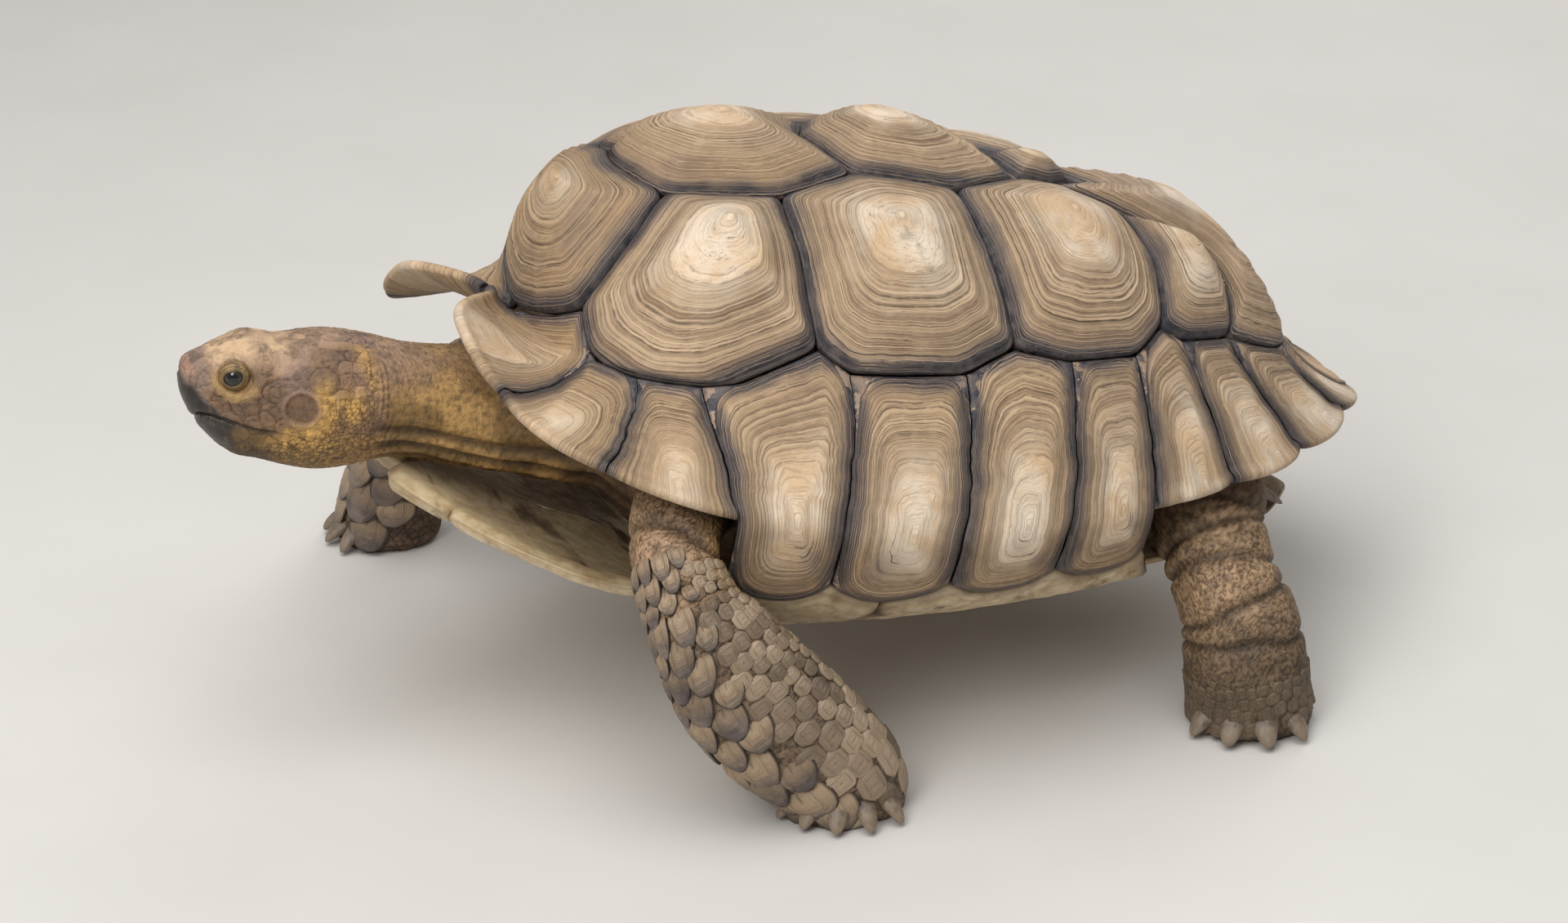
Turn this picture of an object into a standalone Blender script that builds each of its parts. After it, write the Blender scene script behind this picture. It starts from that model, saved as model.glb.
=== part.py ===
"""A walking sulcata tortoise as a still life-size model, from the scutes of its shell to its claws. Metres.
The head end is -X, the left side -Y, up +Z, and the soles stand on z = 0."""
import bpy
import math
import numpy as np

# Shell, in metres. The body frame has its head end at -X, its left side at -Y, and the belly's plane at z = 0.
TILT = math.radians(2.36)  # the walking animal carries the front of its shell higher
ROLL = math.radians(2.38)  # and leans a little to its right
CLEAR = 0.0598  # belly above the floor
CENTRE = np.array([0.05867, -0.01279, 0.0])  # brings the middle of the whole to x = y = 0
RIM = dict(front=0.2595, rear=0.2601, half=0.1878, taper=0.1189, blunt_front=0.6605, blunt_rear=1.0157,
           notch=0.0046, z=0.0732, z_front=0.0692, lip=0.0310, z_rear=0.0106, droop=0.012)
KEEL = dict(front=0.2167, rear=0.2163, half=0.1408, taper=0.1890, blunt_front=0.7241, blunt_rear=0.7264,
            z=0.1476, z_front=0.0046, z_rear=-0.0372)
SPINE = dict(front=-0.1633, rear=0.1008, top=0.2361, x_top=-0.1162, bend_front=0.956, bend_rear=0.874)
# how far the carapace bends between its spine and its marginals, at the rear, the sides and the front
ROUND_END, ROUND_SIDE, ROUND_FRONT = math.radians(58), math.radians(56), math.radians(52)
FLARE_RIGHT, FLARE_AT, FLARE_WIDTH = (-0.018, 0.0, -0.010), 20, 13  # the right front marginals flare forward
NUCHAL_DEEP, NUCHAL_LOW, NUCHAL_WIDTH = 0.028, 0.009, 3.2  # the notch over the neck, its half width in degrees
REAR_DROOP_FROM, REAR_DROOP_OVER = 150, 26  # degrees


def mix(a, b, t):
    return a + (b - a) * t


def rim_line(phi, side):
    c, s = np.cos(phi), np.abs(np.sin(phi))
    r, front, deg = RIM, c > 0, np.degrees(phi)
    nuchal = np.exp(-(deg / NUCHAL_WIDTH) ** 2)
    dip = r["notch"] * np.exp(-(deg / 10) ** 2) + NUCHAL_DEEP * nuchal
    x = -np.where(front, r["front"], r["rear"]) * c + dip
    y = side * r["half"] * s ** np.where(front, r["blunt_front"], r["blunt_rear"]) * (1 + r["taper"] * c)
    z = r["z"] + np.where(front, r["z_front"], r["z_rear"]) * c * c + r["lip"] * np.exp(-(deg / 16) ** 2)
    z = z - NUCHAL_LOW * nuchal - r["droop"] * np.clip((deg - REAR_DROOP_FROM) / REAR_DROOP_OVER, 0, 1) ** 2
    lobe = np.where(side > 0, np.exp(-((deg - FLARE_AT) / FLARE_WIDTH) ** 2), 0)
    return np.stack([x + lobe * FLARE_RIGHT[0], y, z + lobe * FLARE_RIGHT[2]], -1)


def keel_line(phi, side):
    c, s = np.cos(phi), np.abs(np.sin(phi))
    k, front = KEEL, c > 0
    x = -np.where(front, k["front"], k["rear"]) * c
    y = side * k["half"] * s ** np.where(front, k["blunt_front"], k["blunt_rear"]) * (1 + k["taper"] * c)
    return np.stack([x, y, k["z"] + np.where(front, k["z_front"], k["z_rear"]) * c * c], -1)


def spine_z(x):
    d = x - SPINE["x_top"]
    return SPINE["top"] - np.where(d < 0, SPINE["bend_front"], SPINE["bend_rear"]) * d * d


def spine_slope(x):
    d = x - SPINE["x_top"]
    return -2 * np.where(d < 0, SPINE["bend_front"], SPINE["bend_rear"]) * d


def dome(phi, u, side):
    """The shell's surface: phi runs from the front of the midline (0) to the rear (pi), u from the spine (0)
    over the line above the marginals (1) to the free rim (2)."""
    phi, u, side = np.broadcast_arrays(*(np.asarray(value, float) for value in (phi, u, side)))
    x = 0.5 * (SPINE["front"] + SPINE["rear"]) - 0.5 * (SPINE["rear"] - SPINE["front"]) * np.cos(phi)
    m = np.stack([x, 0 * x, spine_z(x)], -1)
    k, r = keel_line(phi, side), rim_line(phi, side)
    c = np.cos(phi)
    bend = mix(np.where(c > 0, ROUND_FRONT, ROUND_END), ROUND_SIDE, np.sin(phi) ** 2)
    lean = spine_slope(x) * (k[..., 0] - x)

    def over(v):
        f, g = np.sin(v * bend) / np.sin(bend), (1 - np.cos(v * bend)) / (1 - np.cos(bend))
        return np.stack([mix(x, k[..., 0], f), k[..., 1] * f,
                         m[..., 2] + lean * f + (k[..., 2] - m[..., 2] - lean) * g], -1)

    top = over(np.clip(u, 0, 1))
    t = np.clip(u - 1, 0, 1.2)[..., None]
    along = over(np.ones_like(u)) - over(np.full_like(u, 0.98))
    along /= np.linalg.norm(along, axis=-1, keepdims=True)
    length = np.maximum(np.linalg.norm(r - k, axis=-1, keepdims=True), 1e-9)
    share = (0.6 * np.clip(c, 0, 1) ** 2)[..., None]
    mid = k + (along * (1 - share) + (r - k) / length * share) * length * 0.5
    flank = k * (1 - t) ** 2 + 2 * mid * t * (1 - t) + r * t * t
    return np.where((u <= 1)[..., None], top, flank)


def to_world(p):
    p = np.asarray(p, float)
    c, s = math.cos(ROLL), math.sin(ROLL)
    y, z = p[..., 1] * c + p[..., 2] * s, p[..., 2] * c - p[..., 1] * s
    c, s = math.cos(TILT), math.sin(TILT)
    return np.stack([p[..., 0] * c + z * s, y, z * c - p[..., 0] * s + CLEAR], -1)


# Seam corners on one side, as (phi in degrees, u); "v12" is on the midline between vertebrals 1 and 2.
SEAMS = {
    "nuchal": (0, 1.0), "tail": (180, 1.0),
    "v12": (0, 0), "v23": (77.0, 0), "v34": (126.0, 0), "v45": (161.0, 0),
    "v1v2c1": (38.4, 0.36), "c1c2v2": (64.2, 0.38), "v2v3c2": (81.0, 0.26), "c2c3v3": (100.2, 0.32),
    "v3v4c3": (121.5, 0.17), "v4v5c3": (133.0, 0.16), "c3c4v5": (144.0, 0.30), "c4v5": (157.0, 0.62),
    "v1c1m1": (19.8, 0.86), "c1m1m2": (23.0, 0.98), "c1m2m3": (34.6, 1.06), "c1m3m4": (45.4, 1.05),
    "c1c2m4": (64.9, 0.90), "c2m4m5": (69.1, 0.97), "c2m5m6": (85.7, 1.0), "c2c3m6": (94.2, 0.94),
    "c3m6m7": (102.4, 1.0), "c3m7m8": (113.5, 1.0), "c3c4m8": (121.3, 0.90), "c4m8m9": (124.4, 0.95),
    "c4m9m10": (136.8, 0.94), "v5m10m11": (157.1, 1.03), "v5m11": (169.0, 1.0),
}
# Free-edge ends of the seams between marginals, in degrees; the last two bound the supracaudal.
RIM_SEAMS = (0, 18.2, 37.8, 55.6, 68.6, 83.1, 96.3, 108.7, 120.9, 136.1, 153.2, 168.0, 192.0)
# name: (height of its hump, growth centre, seam corners in order)
COSTALS = {
    1: (0.012, (52.9, 0.52), ("v1v2c1", "v1c1m1", "c1m1m2", "c1m2m3", "c1m3m4", "c1c2m4", "c1c2v2")),
    2: (0.012, (82.5, 0.52), ("c1c2v2", "c1c2m4", "c2m4m5", "c2m5m6", "c2c3m6", "c2c3v3", "v2v3c2")),
    3: (0.013, (117.0, 0.46),
        ("c2c3v3", "c2c3m6", "c3m6m7", "c3m7m8", "c3c4m8", "c3c4v5", "v4v5c3", "v3v4c3")),
    4: (0.016, (143.0, 0.56), ("c3c4v5", "c3c4m8", "c4m8m9", "c4m9m10", "c4v5")),
}
VERTEBRALS = {
    1: (0.006, (0, 0.42), ("v12", "v1v2c1", "v1c1m1", "nuchal")),
    2: (0.015, (57.0, 0), ("v12", "v1v2c1", "c1c2v2", "v2v3c2", "v23")),
    3: (0.019, (94.5, 0), ("v23", "v2v3c2", "c2c3v3", "v3v4c3", "v34")),
    4: (0.011, (141.0, 0), ("v34", "v3v4c3", "v4v5c3", "v45")),
    5: (0.019, (180, 0.36), ("v45", "v4v5c3", "c3c4v5", "c4v5", "c4m9m10", "v5m10m11", "v5m11", "tail")),
}
MARGINAL_TOPS = {
    1: ("nuchal", "v1c1m1", "c1m1m2"), 2: ("c1m1m2", "c1m2m3"), 3: ("c1m2m3", "c1m3m4"),
    4: ("c1m3m4", "c1c2m4", "c2m4m5"), 5: ("c2m4m5", "c2m5m6"), 6: ("c2m5m6", "c2c3m6", "c3m6m7"),
    7: ("c3m6m7", "c3m7m8"), 8: ("c3m7m8", "c3c4m8", "c4m8m9"), 9: ("c4m8m9", "c4m9m10"),
    10: ("c4m9m10", "v5m10m11"), 11: ("v5m10m11", "v5m11"),
}
BRIDGE_MARGINALS = (4, 5, 6, 7)
PLATE, RIM_PLATE, SEAM_GAP = 0.0085, 0.0060, 0.00022
SIDES = ((-1, "left"), (1, "right"))
ON_MIDLINE = 1e-6
SCALLOP, SCALLOP_REAR, SCALLOP_FRONT = 0.0012, 0.0065, 0.0018

# The underside's scutes on the left side, as plan corners; the gular spans the midline.
HUMERAL_EDGE, AXILLA, GROIN = (-0.170, -0.109), (-0.152, -0.108), (0.108, -0.108)
BRIDGE_SPLIT = 6  # column of the bridge where the seam between pectoral and abdominal reaches it
PLASTRALS = {
    "humeral": (
        (-0.268, -0.057), (-0.243, -0.076), (-0.211, -0.102), HUMERAL_EDGE, (-0.140, 0.0), (-0.205, 0.0),
    ),
    "pectoral": (HUMERAL_EDGE, AXILLA, "front bridge", (-0.105, 0.0), (-0.140, 0.0)),
    "abdominal": ((-0.105, 0.0), "rear bridge", GROIN, (0.096, -0.096), (0.060, 0.0)),
    "femoral": (
        (0.060, 0.0), (0.096, -0.096), (0.122, -0.094), (0.150, -0.088), (0.176, -0.078), (0.150, 0.0),
    ),
    "anal": ((0.150, 0.0), (0.176, -0.078), (0.202, -0.066), (0.220, -0.044), (0.218, -0.024), (0.196, 0.0)),
}
GULAR = (
    (-0.205, 0.0), (-0.268, -0.057), (-0.282, -0.047), (-0.2925, -0.033), (-0.2915, -0.018), (-0.274, 0.0),
)
BELLY_LOW, FRONT_RISE, REAR_RISE, LOBE_CURL = 0.004, 0.064, 0.016, 0.012
BELLY_PLATE, FRONT_SHELF = 0.008, 0.007  # the plastron's thickness, and what the front lobe has on top of it
PLASTRON_STEP = 0.045


def unit(v):
    return v / np.maximum(np.linalg.norm(v, axis=-1, keepdims=True), 1e-12)


def scallop(phi):
    """How far each marginal's free edge bows out past its ends."""
    deg = np.degrees(phi)
    t = np.interp(deg, RIM_SEAMS, np.arange(len(RIM_SEAMS))) % 1.0
    rear, front = np.clip((deg - 112) / 22, 0, 1), np.clip((50 - deg) / 30, 0, 1)
    size = SCALLOP + SCALLOP_REAR * rear + SCALLOP_FRONT * front
    return size * (4 * t * (1 - t)) ** 0.7


def shell(phi, u, side):
    """dome() with the free edge scalloped."""
    p = dome(phi, u, side)
    t = np.clip(np.asarray(u, float) - 1, 0, 1) ** 2
    out = unit((rim_line(phi, side) - keel_line(phi, side)) * (1, 1, 0.35))
    return p + out * (t * scallop(phi))[..., None]


def shell_normal(phi, u, side):
    u = np.clip(u, 0.04, 1.97)
    a = shell(np.clip(phi + 0.01, 0, math.pi), u, side) - shell(np.clip(phi - 0.01, 0, math.pi), u, side)
    b = shell(phi, u + 0.02, side) - shell(phi, u - 0.02, side)
    return unit(np.cross(a, b)) * np.broadcast_to(np.asarray(side, float), np.shape(a)[:-1])[..., None]


def rim_at(x):
    """The free rim's half width and height over a plan length."""
    phi = np.arccos(np.clip(-x / np.where(x < 0, RIM["front"], RIM["rear"]), -1, 1))
    p = shell(phi, 2.0, 1.0)
    return np.maximum(p[..., 1], 0.06), p[..., 2]


def belly_z(x, y):
    """Height of the underside's outer face."""
    half, top = rim_at(x)
    front, rear = np.clip((-0.150 - x) / 0.143, 0, 2), np.clip((x - 0.13) / 0.09, 0, 2)
    low = BELLY_LOW + FRONT_RISE * front ** 1.35 + REAR_RISE * rear ** 1.5
    lobe = np.clip((-0.14 - x) / 0.03, 0, 1) * LOBE_CURL * np.clip(np.abs(y) / 0.100, 0, 1.1) ** 2
    edge = np.clip(1 - np.clip((-0.15 - x) / 0.04, 0, 1), 0, 1)
    return low + lobe + edge * (top - low) * np.clip(np.abs(y) / half, 0, 1) ** 6


def belly(x, y):
    return np.stack([x, y, belly_z(x, y)], -1)


def belly_normal(x, y):
    d = 0.002
    a, b = belly(x + d, y) - belly(x - d, y), belly(x, y + d) - belly(x, y - d)
    return -unit(np.cross(a, b))


def belly_thick(x, y):
    """The front lobe is a thick shelf that thins to its edge."""
    shelf = np.clip((-0.150 - x) / 0.03, 0, 1)
    return BELLY_PLATE + shelf * FRONT_SHELF * np.clip(1 - np.abs(y) / 0.075, 0, 1)


COLUMNS, MARGINAL_ROWS = 5, (0.0, 0.33, 0.66, 1.0)  # points across a marginal, and down it
BRIDGE_WIDE, BRIDGE_SCALLOP = 0.915, 0.050  # the bridge's seam, as shares of the shell's half width


def bridge_seam(deg, side=-1):
    """The scalloped seam where the bridge's marginals turn under and meet the plastron."""
    deg = np.asarray(deg, float)
    p = shell(np.radians(deg), 2.0, side)
    part = np.interp(deg, RIM_SEAMS, np.arange(len(RIM_SEAMS))) % 1.0
    v = BRIDGE_WIDE - BRIDGE_SCALLOP * (4 * part * (1 - part)) ** 0.8
    return p[..., 0], p[..., 1] * v


# first word of a node's name: (material, colour, roughness)
HORN = ("shell", (0.46, 0.34, 0.22), 0.62)
UNDERSIDE = ("underside", (0.42, 0.35, 0.24), 0.60)
HIDE = ("skin", (0.21, 0.145, 0.075), 0.75)
BEAK = ("beak", (0.055, 0.042, 0.034), 0.45)
FINISHES = {
    "costal": HORN, "vertebral": HORN, "marginal": HORN, "supracaudal": HORN,
    "gular": UNDERSIDE, "humeral": UNDERSIDE, "pectoral": UNDERSIDE, "abdominal": UNDERSIDE,
    "femoral": UNDERSIDE, "anal": UNDERSIDE,
    "upper": BEAK, "lower": BEAK, "eye": ("eye", (0.018, 0.013, 0.009), 0.12),
}
ROUND = ("head", "neck", "tail", "trunk", "front", "hind", "eye", "upper", "lower")  # shaded smooth


def finish(obj):
    """Gives the piece the material of its kind."""
    name, colour, roughness = FINISHES.get(obj.name.split("_")[0], HIDE)
    found = bpy.data.materials.get(name)
    if found is None:
        found = bpy.data.materials.new(name)
        found.use_nodes = True
        surface = found.node_tree.nodes["Principled BSDF"]
        surface.inputs["Base Color"].default_value = (*colour, 1)
        surface.inputs["Roughness"].default_value = roughness
        surface.inputs["Metallic"].default_value = 0.0
    obj.data.materials.append(found)
    if obj.name.split("_")[0] in ROUND:
        obj.data.polygons.foreach_set("use_smooth", [True] * len(obj.data.polygons))


def make(name, verts, faces, hidden=False):
    """A mesh object in the tortoise's collection or, hidden, among the cutters."""
    mesh = bpy.data.meshes.new(name)
    verts = np.asarray(verts) + CENTRE
    mesh.from_pydata(verts.tolist(), [], [tuple(int(i) for i in f) for f in faces])
    mesh.update()
    obj = bpy.data.objects.new(name, mesh)
    bpy.data.collections["cutters" if hidden else "sulcata tortoise"].objects.link(obj)
    obj.hide_render = hidden
    if hidden:
        obj.display_type = "WIRE"
    else:
        finish(obj)
    return obj


def outward(verts, faces):
    """Faces turned so that the closed mesh encloses a positive volume."""
    v = np.asarray(verts)
    total = sum(np.dot(v[f[0]], np.cross(v[f[i]], v[f[i + 1]])) for f in faces for i in range(1, len(f) - 1))
    return faces if total > 0 else [tuple(reversed(f)) for f in faces]


def slab(name, outer, inner, faces, loop):
    """A closed plate from an outer face, the matching inner face and the loop of its boundary."""
    n = len(outer)
    every = list(faces) + [tuple(n + i for i in reversed(f)) for f in faces]
    edges = {(f[i], f[(i + 1) % len(f)]) for f in faces for i in range(len(f))}
    for a, b in zip(loop, list(loop[1:]) + [loop[0]]):
        if (a, b) not in edges:
            a, b = b, a
        # neighbours share this wall, so its diagonal is picked by place alone
        if (round(outer[a][0], 3), abs(outer[a][1])) < (round(outer[b][0], 3), abs(outer[b][1])):
            every += [(b, a, n + b), (a, n + a, n + b)]
        else:
            every += [(b, a, n + a), (b, n + a, n + b)]
    verts = to_world(np.concatenate([outer, inner]))
    return make(name, verts, outward(verts, every))


def inset(loop, normals, gap=SEAM_GAP):
    """The loop drawn in by the gap, within the surface."""
    along = unit(np.roll(loop, -1, 0) - np.roll(loop, 1, 0))
    inward = unit(np.cross(normals, along))
    middle = loop.mean(0)
    inward *= np.where(np.sum(inward * (middle - loop), -1, keepdims=True).sum() < 0, -1, 1)
    return loop + inward * gap


def walk(corners, step, place):
    """Corners with points added so that no side is longer than step; shared sides split alike."""
    out = []
    for a, b in zip(corners, list(corners[1:]) + [corners[0]]):
        a, b = np.array(a, float), np.array(b, float)
        n = max(1, int(math.ceil(np.linalg.norm(place(a) - place(b)) / step)))
        out += [mix(a, b, i / n) for i in range(n)]
    return np.array(out)


def star_plate(name, corners, middle, place, normal, hump, thick, step=0.030, rings=(1.0, 0.66, 0.33)):
    """A plate spread from its growth centre to its seams, with a low hump."""
    loop = walk(corners, step, place)
    middle = np.array(middle, float)
    n = len(loop)
    outer, inner, faces = [], [], []
    for s in rings:
        p = mix(middle, loop, s)
        base, up = place(p), normal(p)
        if s == 1.0:
            base = inset(base, up)
        outer += list(base + up * (hump * (1 - s ** 1.5)))
        inner += list(base - up * thick(p)[..., None])
    p = middle[None]
    outer.append((place(p) + normal(p) * hump)[0])
    inner.append((place(p) - normal(p) * thick(p)[..., None])[0])
    for r in range(len(rings) - 1):
        for i in range(n):
            j = (i + 1) % n
            faces.append((r * n + i, r * n + j, (r + 1) * n + j, (r + 1) * n + i))
    last = (len(rings) - 1) * n
    faces += [(last + i, last + (i + 1) % n, len(rings) * n) for i in range(n)]
    return slab(name, np.array(outer), np.array(inner), faces, list(range(n)))


def across_spine(p):
    """Points as (phi, u, side) where u is signed by side."""
    p = np.atleast_2d(p)
    return np.radians(p[:, 0]), np.abs(p[:, 1]), np.where(p[:, 1] > 0, 1.0, -1.0)


def round_end(p, end):
    """Points as (phi, u, side) where phi, in degrees, passes the end of the spine."""
    p = np.atleast_2d(p)
    off = p[:, 0] - end
    side = np.where(off * (1 if end == 0 else -1) >= 0, -1.0, 1.0)
    return np.radians(np.abs(end - np.abs(off))), p[:, 1], side


def vertebral(number, hump, middle, names):
    half = [SEAMS[n] for n in names]
    if number in (2, 3, 4):
        split = across_spine
        corners = [(a, -u) for a, u in half] + [(a, u) for a, u in reversed(half[1:-1])]
    else:
        end = 0.0 if number == 1 else 180.0
        split = lambda p: round_end(p, end)
        corners = half + [(2 * end - a, u) for a, u in reversed(half[1:-1])]

    def place(p):
        return shell(*split(p))

    def normal(p):
        n = shell_normal(*split(p))
        n[np.abs(place(p)[:, 1]) < ON_MIDLINE, 1] = 0
        return unit(n)

    star_plate(f"vertebral_{number}", corners, middle, place, normal, hump, even_plate)


def costal(number, word, side, hump, middle, names):
    def place(p):
        p = np.atleast_2d(p)
        return shell(np.radians(p[:, 0]), p[:, 1], side)

    def normal(p):
        return shell_normal(np.radians(p[:, 0]), p[:, 1], side)

    corners = [SEAMS[n] for n in names]
    star_plate(f"costal_{word}_{number}", corners, middle, place, normal, hump, even_plate)


def even_plate(p):
    return np.full(len(p), PLATE)


def build_carapace():
    for side, word in SIDES:
        for number, shape in COSTALS.items():
            costal(number, word, side, *shape)
    for number, shape in VERTEBRALS.items():
        vertebral(number, *shape)


def marginal_grid(name, top, ends, side):
    """Rows of points, with normals, from a marginal's upper seam to the free rim, and the rim's own angles."""
    cols = COLUMNS + ("nuchal" in top)
    t = np.linspace(0, 1, cols)
    names = np.array([SEAMS[n] for n in top], float)
    at = np.array([0, 1])
    if len(names) == 3:  # a middle corner, on one of the columns
        first, second = abs(names[1, 0] - names[0, 0]), abs(names[2, 0] - names[1, 0])
        at = np.array([0, 0.6 if cols > COLUMNS else 0.75 if first > 3 * second else 0.5, 1])
    upper = np.stack([np.interp(t, at, names[:, 0]), np.interp(t, at, names[:, 1])], -1)
    lower = np.stack([mix(ends[0], ends[1], t), np.full(cols, 2.0)], -1)
    outer, norms = [], []
    for v in MARGINAL_ROWS:
        p = mix(upper, lower, v)
        phi, sides = np.radians(p[:, 0]), side
        if name == "supracaudal":
            sides = np.where(p[:, 0] > 180, 1.0, -1.0)
            phi = np.radians(180 - np.abs(p[:, 0] - 180))
        outer.append(shell(phi, p[:, 1], sides))
        n = shell_normal(phi, p[:, 1], sides)
        n[np.abs(outer[-1][:, 1]) < ON_MIDLINE, 1] = 0
        norms.append(unit(n))
    return outer, norms, lower[:, 0]


def turn_under(outer, norms, angles, side):
    """Adds the rows that carry a bridge marginal on round under the shell."""
    x, y = bridge_seam(angles, side)
    rim = outer[-1]
    norms[-1] = unit(norms[-1] + belly_normal(x, np.sign(side) * np.abs(rim[:, 1]) * 0.985))
    for share in (0.5, 1.0):
        at = mix(rim[:, 0], x, share), mix(rim[:, 1], y, share)
        outer.append(belly(*at))
        norms.append(belly_normal(*at))


def marginal(name, top, ends, side, turned):
    """A marginal as rows from its upper seam to the free rim and, at the bridge, on round under the shell."""
    outer, norms, angles = marginal_grid(name, top, ends, side)
    if turned:
        turn_under(outer, norms, angles, side)
    outer, norms = np.array(outer), np.array(norms)
    r, cols = outer.shape[:2]
    grid = np.arange(r * cols).reshape(r, cols)
    loop = list(grid[0]) + list(grid[1:, -1]) + list(grid[-1, -2::-1]) + list(grid[-2:0:-1, 0])
    flat, up = outer.reshape(-1, 3), norms.reshape(-1, 3)
    edge = inset(flat[loop], up[loop])
    if not turned:  # the free rim keeps its line
        keep = [i for i, g in enumerate(loop) if g in grid[-1, 1:-1]]
        edge[keep] = flat[loop][keep]
    flat = flat.copy()
    flat[loop] = edge
    thick = np.repeat(np.interp(np.arange(r), [0, 3, r], [PLATE, RIM_PLATE, RIM_PLATE]), cols)
    inner = flat - up * thick[:, None]
    faces = [
        (grid[i, j], grid[i, j + 1], grid[i + 1, j + 1], grid[i + 1, j])
        for i in range(r - 1)
        for j in range(cols - 1)
    ]
    return slab(name, flat, inner, faces, loop)


def build_marginals():
    for side, word in SIDES:
        for k, top in MARGINAL_TOPS.items():
            marginal(f"marginal_{word}_{k}", top, RIM_SEAMS[k - 1 : k + 1], side, k in BRIDGE_MARGINALS)
    SEAMS["right v5m11"] = (360 - SEAMS["v5m11"][0], SEAMS["v5m11"][1])
    marginal("supracaudal", ("v5m11", "tail", "right v5m11"), RIM_SEAMS[11:13], 1, False)


def build_plastron():
    def place(p):
        p = np.atleast_2d(p)
        return belly(p[:, 0], p[:, 1])

    def normal(p):
        return belly_normal(p[:, 0], p[:, 1])

    def thick(p):
        return belly_thick(p[:, 0], p[:, 1])

    columns = [np.linspace(RIM_SEAMS[k - 1], RIM_SEAMS[k], COLUMNS)[:-1] for k in BRIDGE_MARGINALS]
    columns = np.append(np.concatenate(columns), RIM_SEAMS[BRIDGE_MARGINALS[-1]])
    for name, marks in PLASTRALS.items():
        corners = []
        for m in marks:
            if isinstance(m, str):
                part = columns[: BRIDGE_SPLIT + 1] if m == "front bridge" else columns[BRIDGE_SPLIT:]
                corners += list(zip(*bridge_seam(part)))
            else:
                corners.append(m)
        middle = np.array(corners).mean(0)
        for side, word in ((1, "left"), (-1, "right")):
            pts = [(x, y * side) for x, y in corners]
            plate = f"{name}_{word}", pts, middle * (1, side)
            star_plate(*plate, place, normal, 0.0, thick, PLASTRON_STEP, (1.0, 0.5))
    corners = list(GULAR) + [(x, -y) for x, y in reversed(GULAR[1:-1])]
    star_plate("gular", corners, (-0.245, 0.0), place, normal, 0.0, thick, PLASTRON_STEP, (1.0, 0.5))


def trunk_rows():
    """Rings of the trunk from just under the spine down to its flat bottom on the plastron."""
    around = np.radians(np.arange(0, 360, 15))
    phi = np.where(around > math.pi, 2 * math.pi - around, around)
    side = np.where(around > math.pi, 1.0, -1.0)
    rows = []
    for u in (0.10, 0.5, 0.88, 1.16, 1.42):
        u = u * (1 - 0.34 * np.exp(-(np.degrees(phi) / 16) ** 2))  # clear of the notch over the neck
        n = shell_normal(phi, u, side)
        n[np.abs(np.sin(phi)) < ON_MIDLINE, 1] = 0
        rows.append(dome(phi, u, side) - unit(n) * (PLATE + 0.0045))
    c, s = np.cos(phi), np.abs(np.sin(phi))
    low = -np.where(c > 0, 0.185, 0.180) * c, side * 0.146 * s ** 0.8, np.full(len(phi), 0.062)
    x, y = -np.where(c > 0, 0.145, 0.160) * c, side * 0.098 * s ** 0.8
    return rows + [np.stack(low, -1), np.stack([x, y, belly_z(x, y) + belly_thick(x, y) + 0.0034], -1)]


def trunk(name, grow=1.0, hidden=False):
    """The body inside the shell, with the skin that closes its front and rear openings."""
    rows = trunk_rows()
    n, verts, faces = len(rows[0]), np.concatenate(rows), []
    for r in range(len(rows) - 1):
        for i in range(n):
            a, b = r * n + i, r * n + (i + 1) % n
            faces += [(a, b, b + n), (a, b + n, a + n)]
    for first, flip in ((0, True), ((len(rows) - 1) * n, False)):
        for i in range(n // 2):
            quad = [first + i, first + i + 1, first + (n - i - 1) % n, first + (n - i) % n]
            quad = [q for k, q in enumerate(quad) if q not in quad[:k]]
            for last in range(2, len(quad)):
                tri = (quad[0], quad[last - 1], quad[last])
                faces.append(tri[::-1] if flip else tri)
    middle = np.array([0.0, 0.0, 0.155])
    verts = middle + (to_world(verts) - middle) * grow
    return make(name, verts, outward(verts, faces), hidden)


def tube(name, stations, around=12, power=2.0, hidden=False):
    """A closed tube through (centre, half width, half height, width direction, height direction)."""
    angle = np.arange(around) * 2 * math.pi / around
    c, s = np.cos(angle), np.sin(angle)
    k = 2 / power
    c, s = np.sign(c) * np.abs(c) ** k, np.sign(s) * np.abs(s) ** k
    rings = [
        np.array(o) + np.outer(c, np.array(w) * a) + np.outer(s, np.array(h) * b) for o, a, b, w, h in stations
    ]
    verts = np.concatenate(rings + [np.array([stations[0][0]]), np.array([stations[-1][0]])])
    n, m, faces = around, len(stations), []
    for i in range(n):
        j = (i + 1) % n
        faces += [(r + i, r + j, r + n + j, r + n + i) for r in range(0, (m - 1) * n, n)]
        faces += [(j, i, m * n), ((m - 1) * n + i, (m - 1) * n + j, m * n + 1)]
    return make(name, verts, outward(verts, faces), hidden)


def limb(name, stations, sole, around=12, hidden=False):
    """A leg through (centre, half width, half depth), its width along the body, ending in a flat sole."""
    pts = np.array([s[0] for s in stations], float)
    along = unit(np.gradient(pts, axis=0))
    out = []
    for (o, a, b), t in zip(stations, along):
        w = unit(np.array([1.0, 0, 0]) - t * t[0])
        out.append((o, a, b, w, np.cross(t, w)))
    o, a, b = sole
    for height, share in ((0.006, 1.0), (0.0, SOLE_SHARE)):
        out.append(((*o, height), a * share, b * share, (1, 0, 0), (0, -1, 0)))
    return tube(name, out, around, 2.2, hidden)


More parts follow.
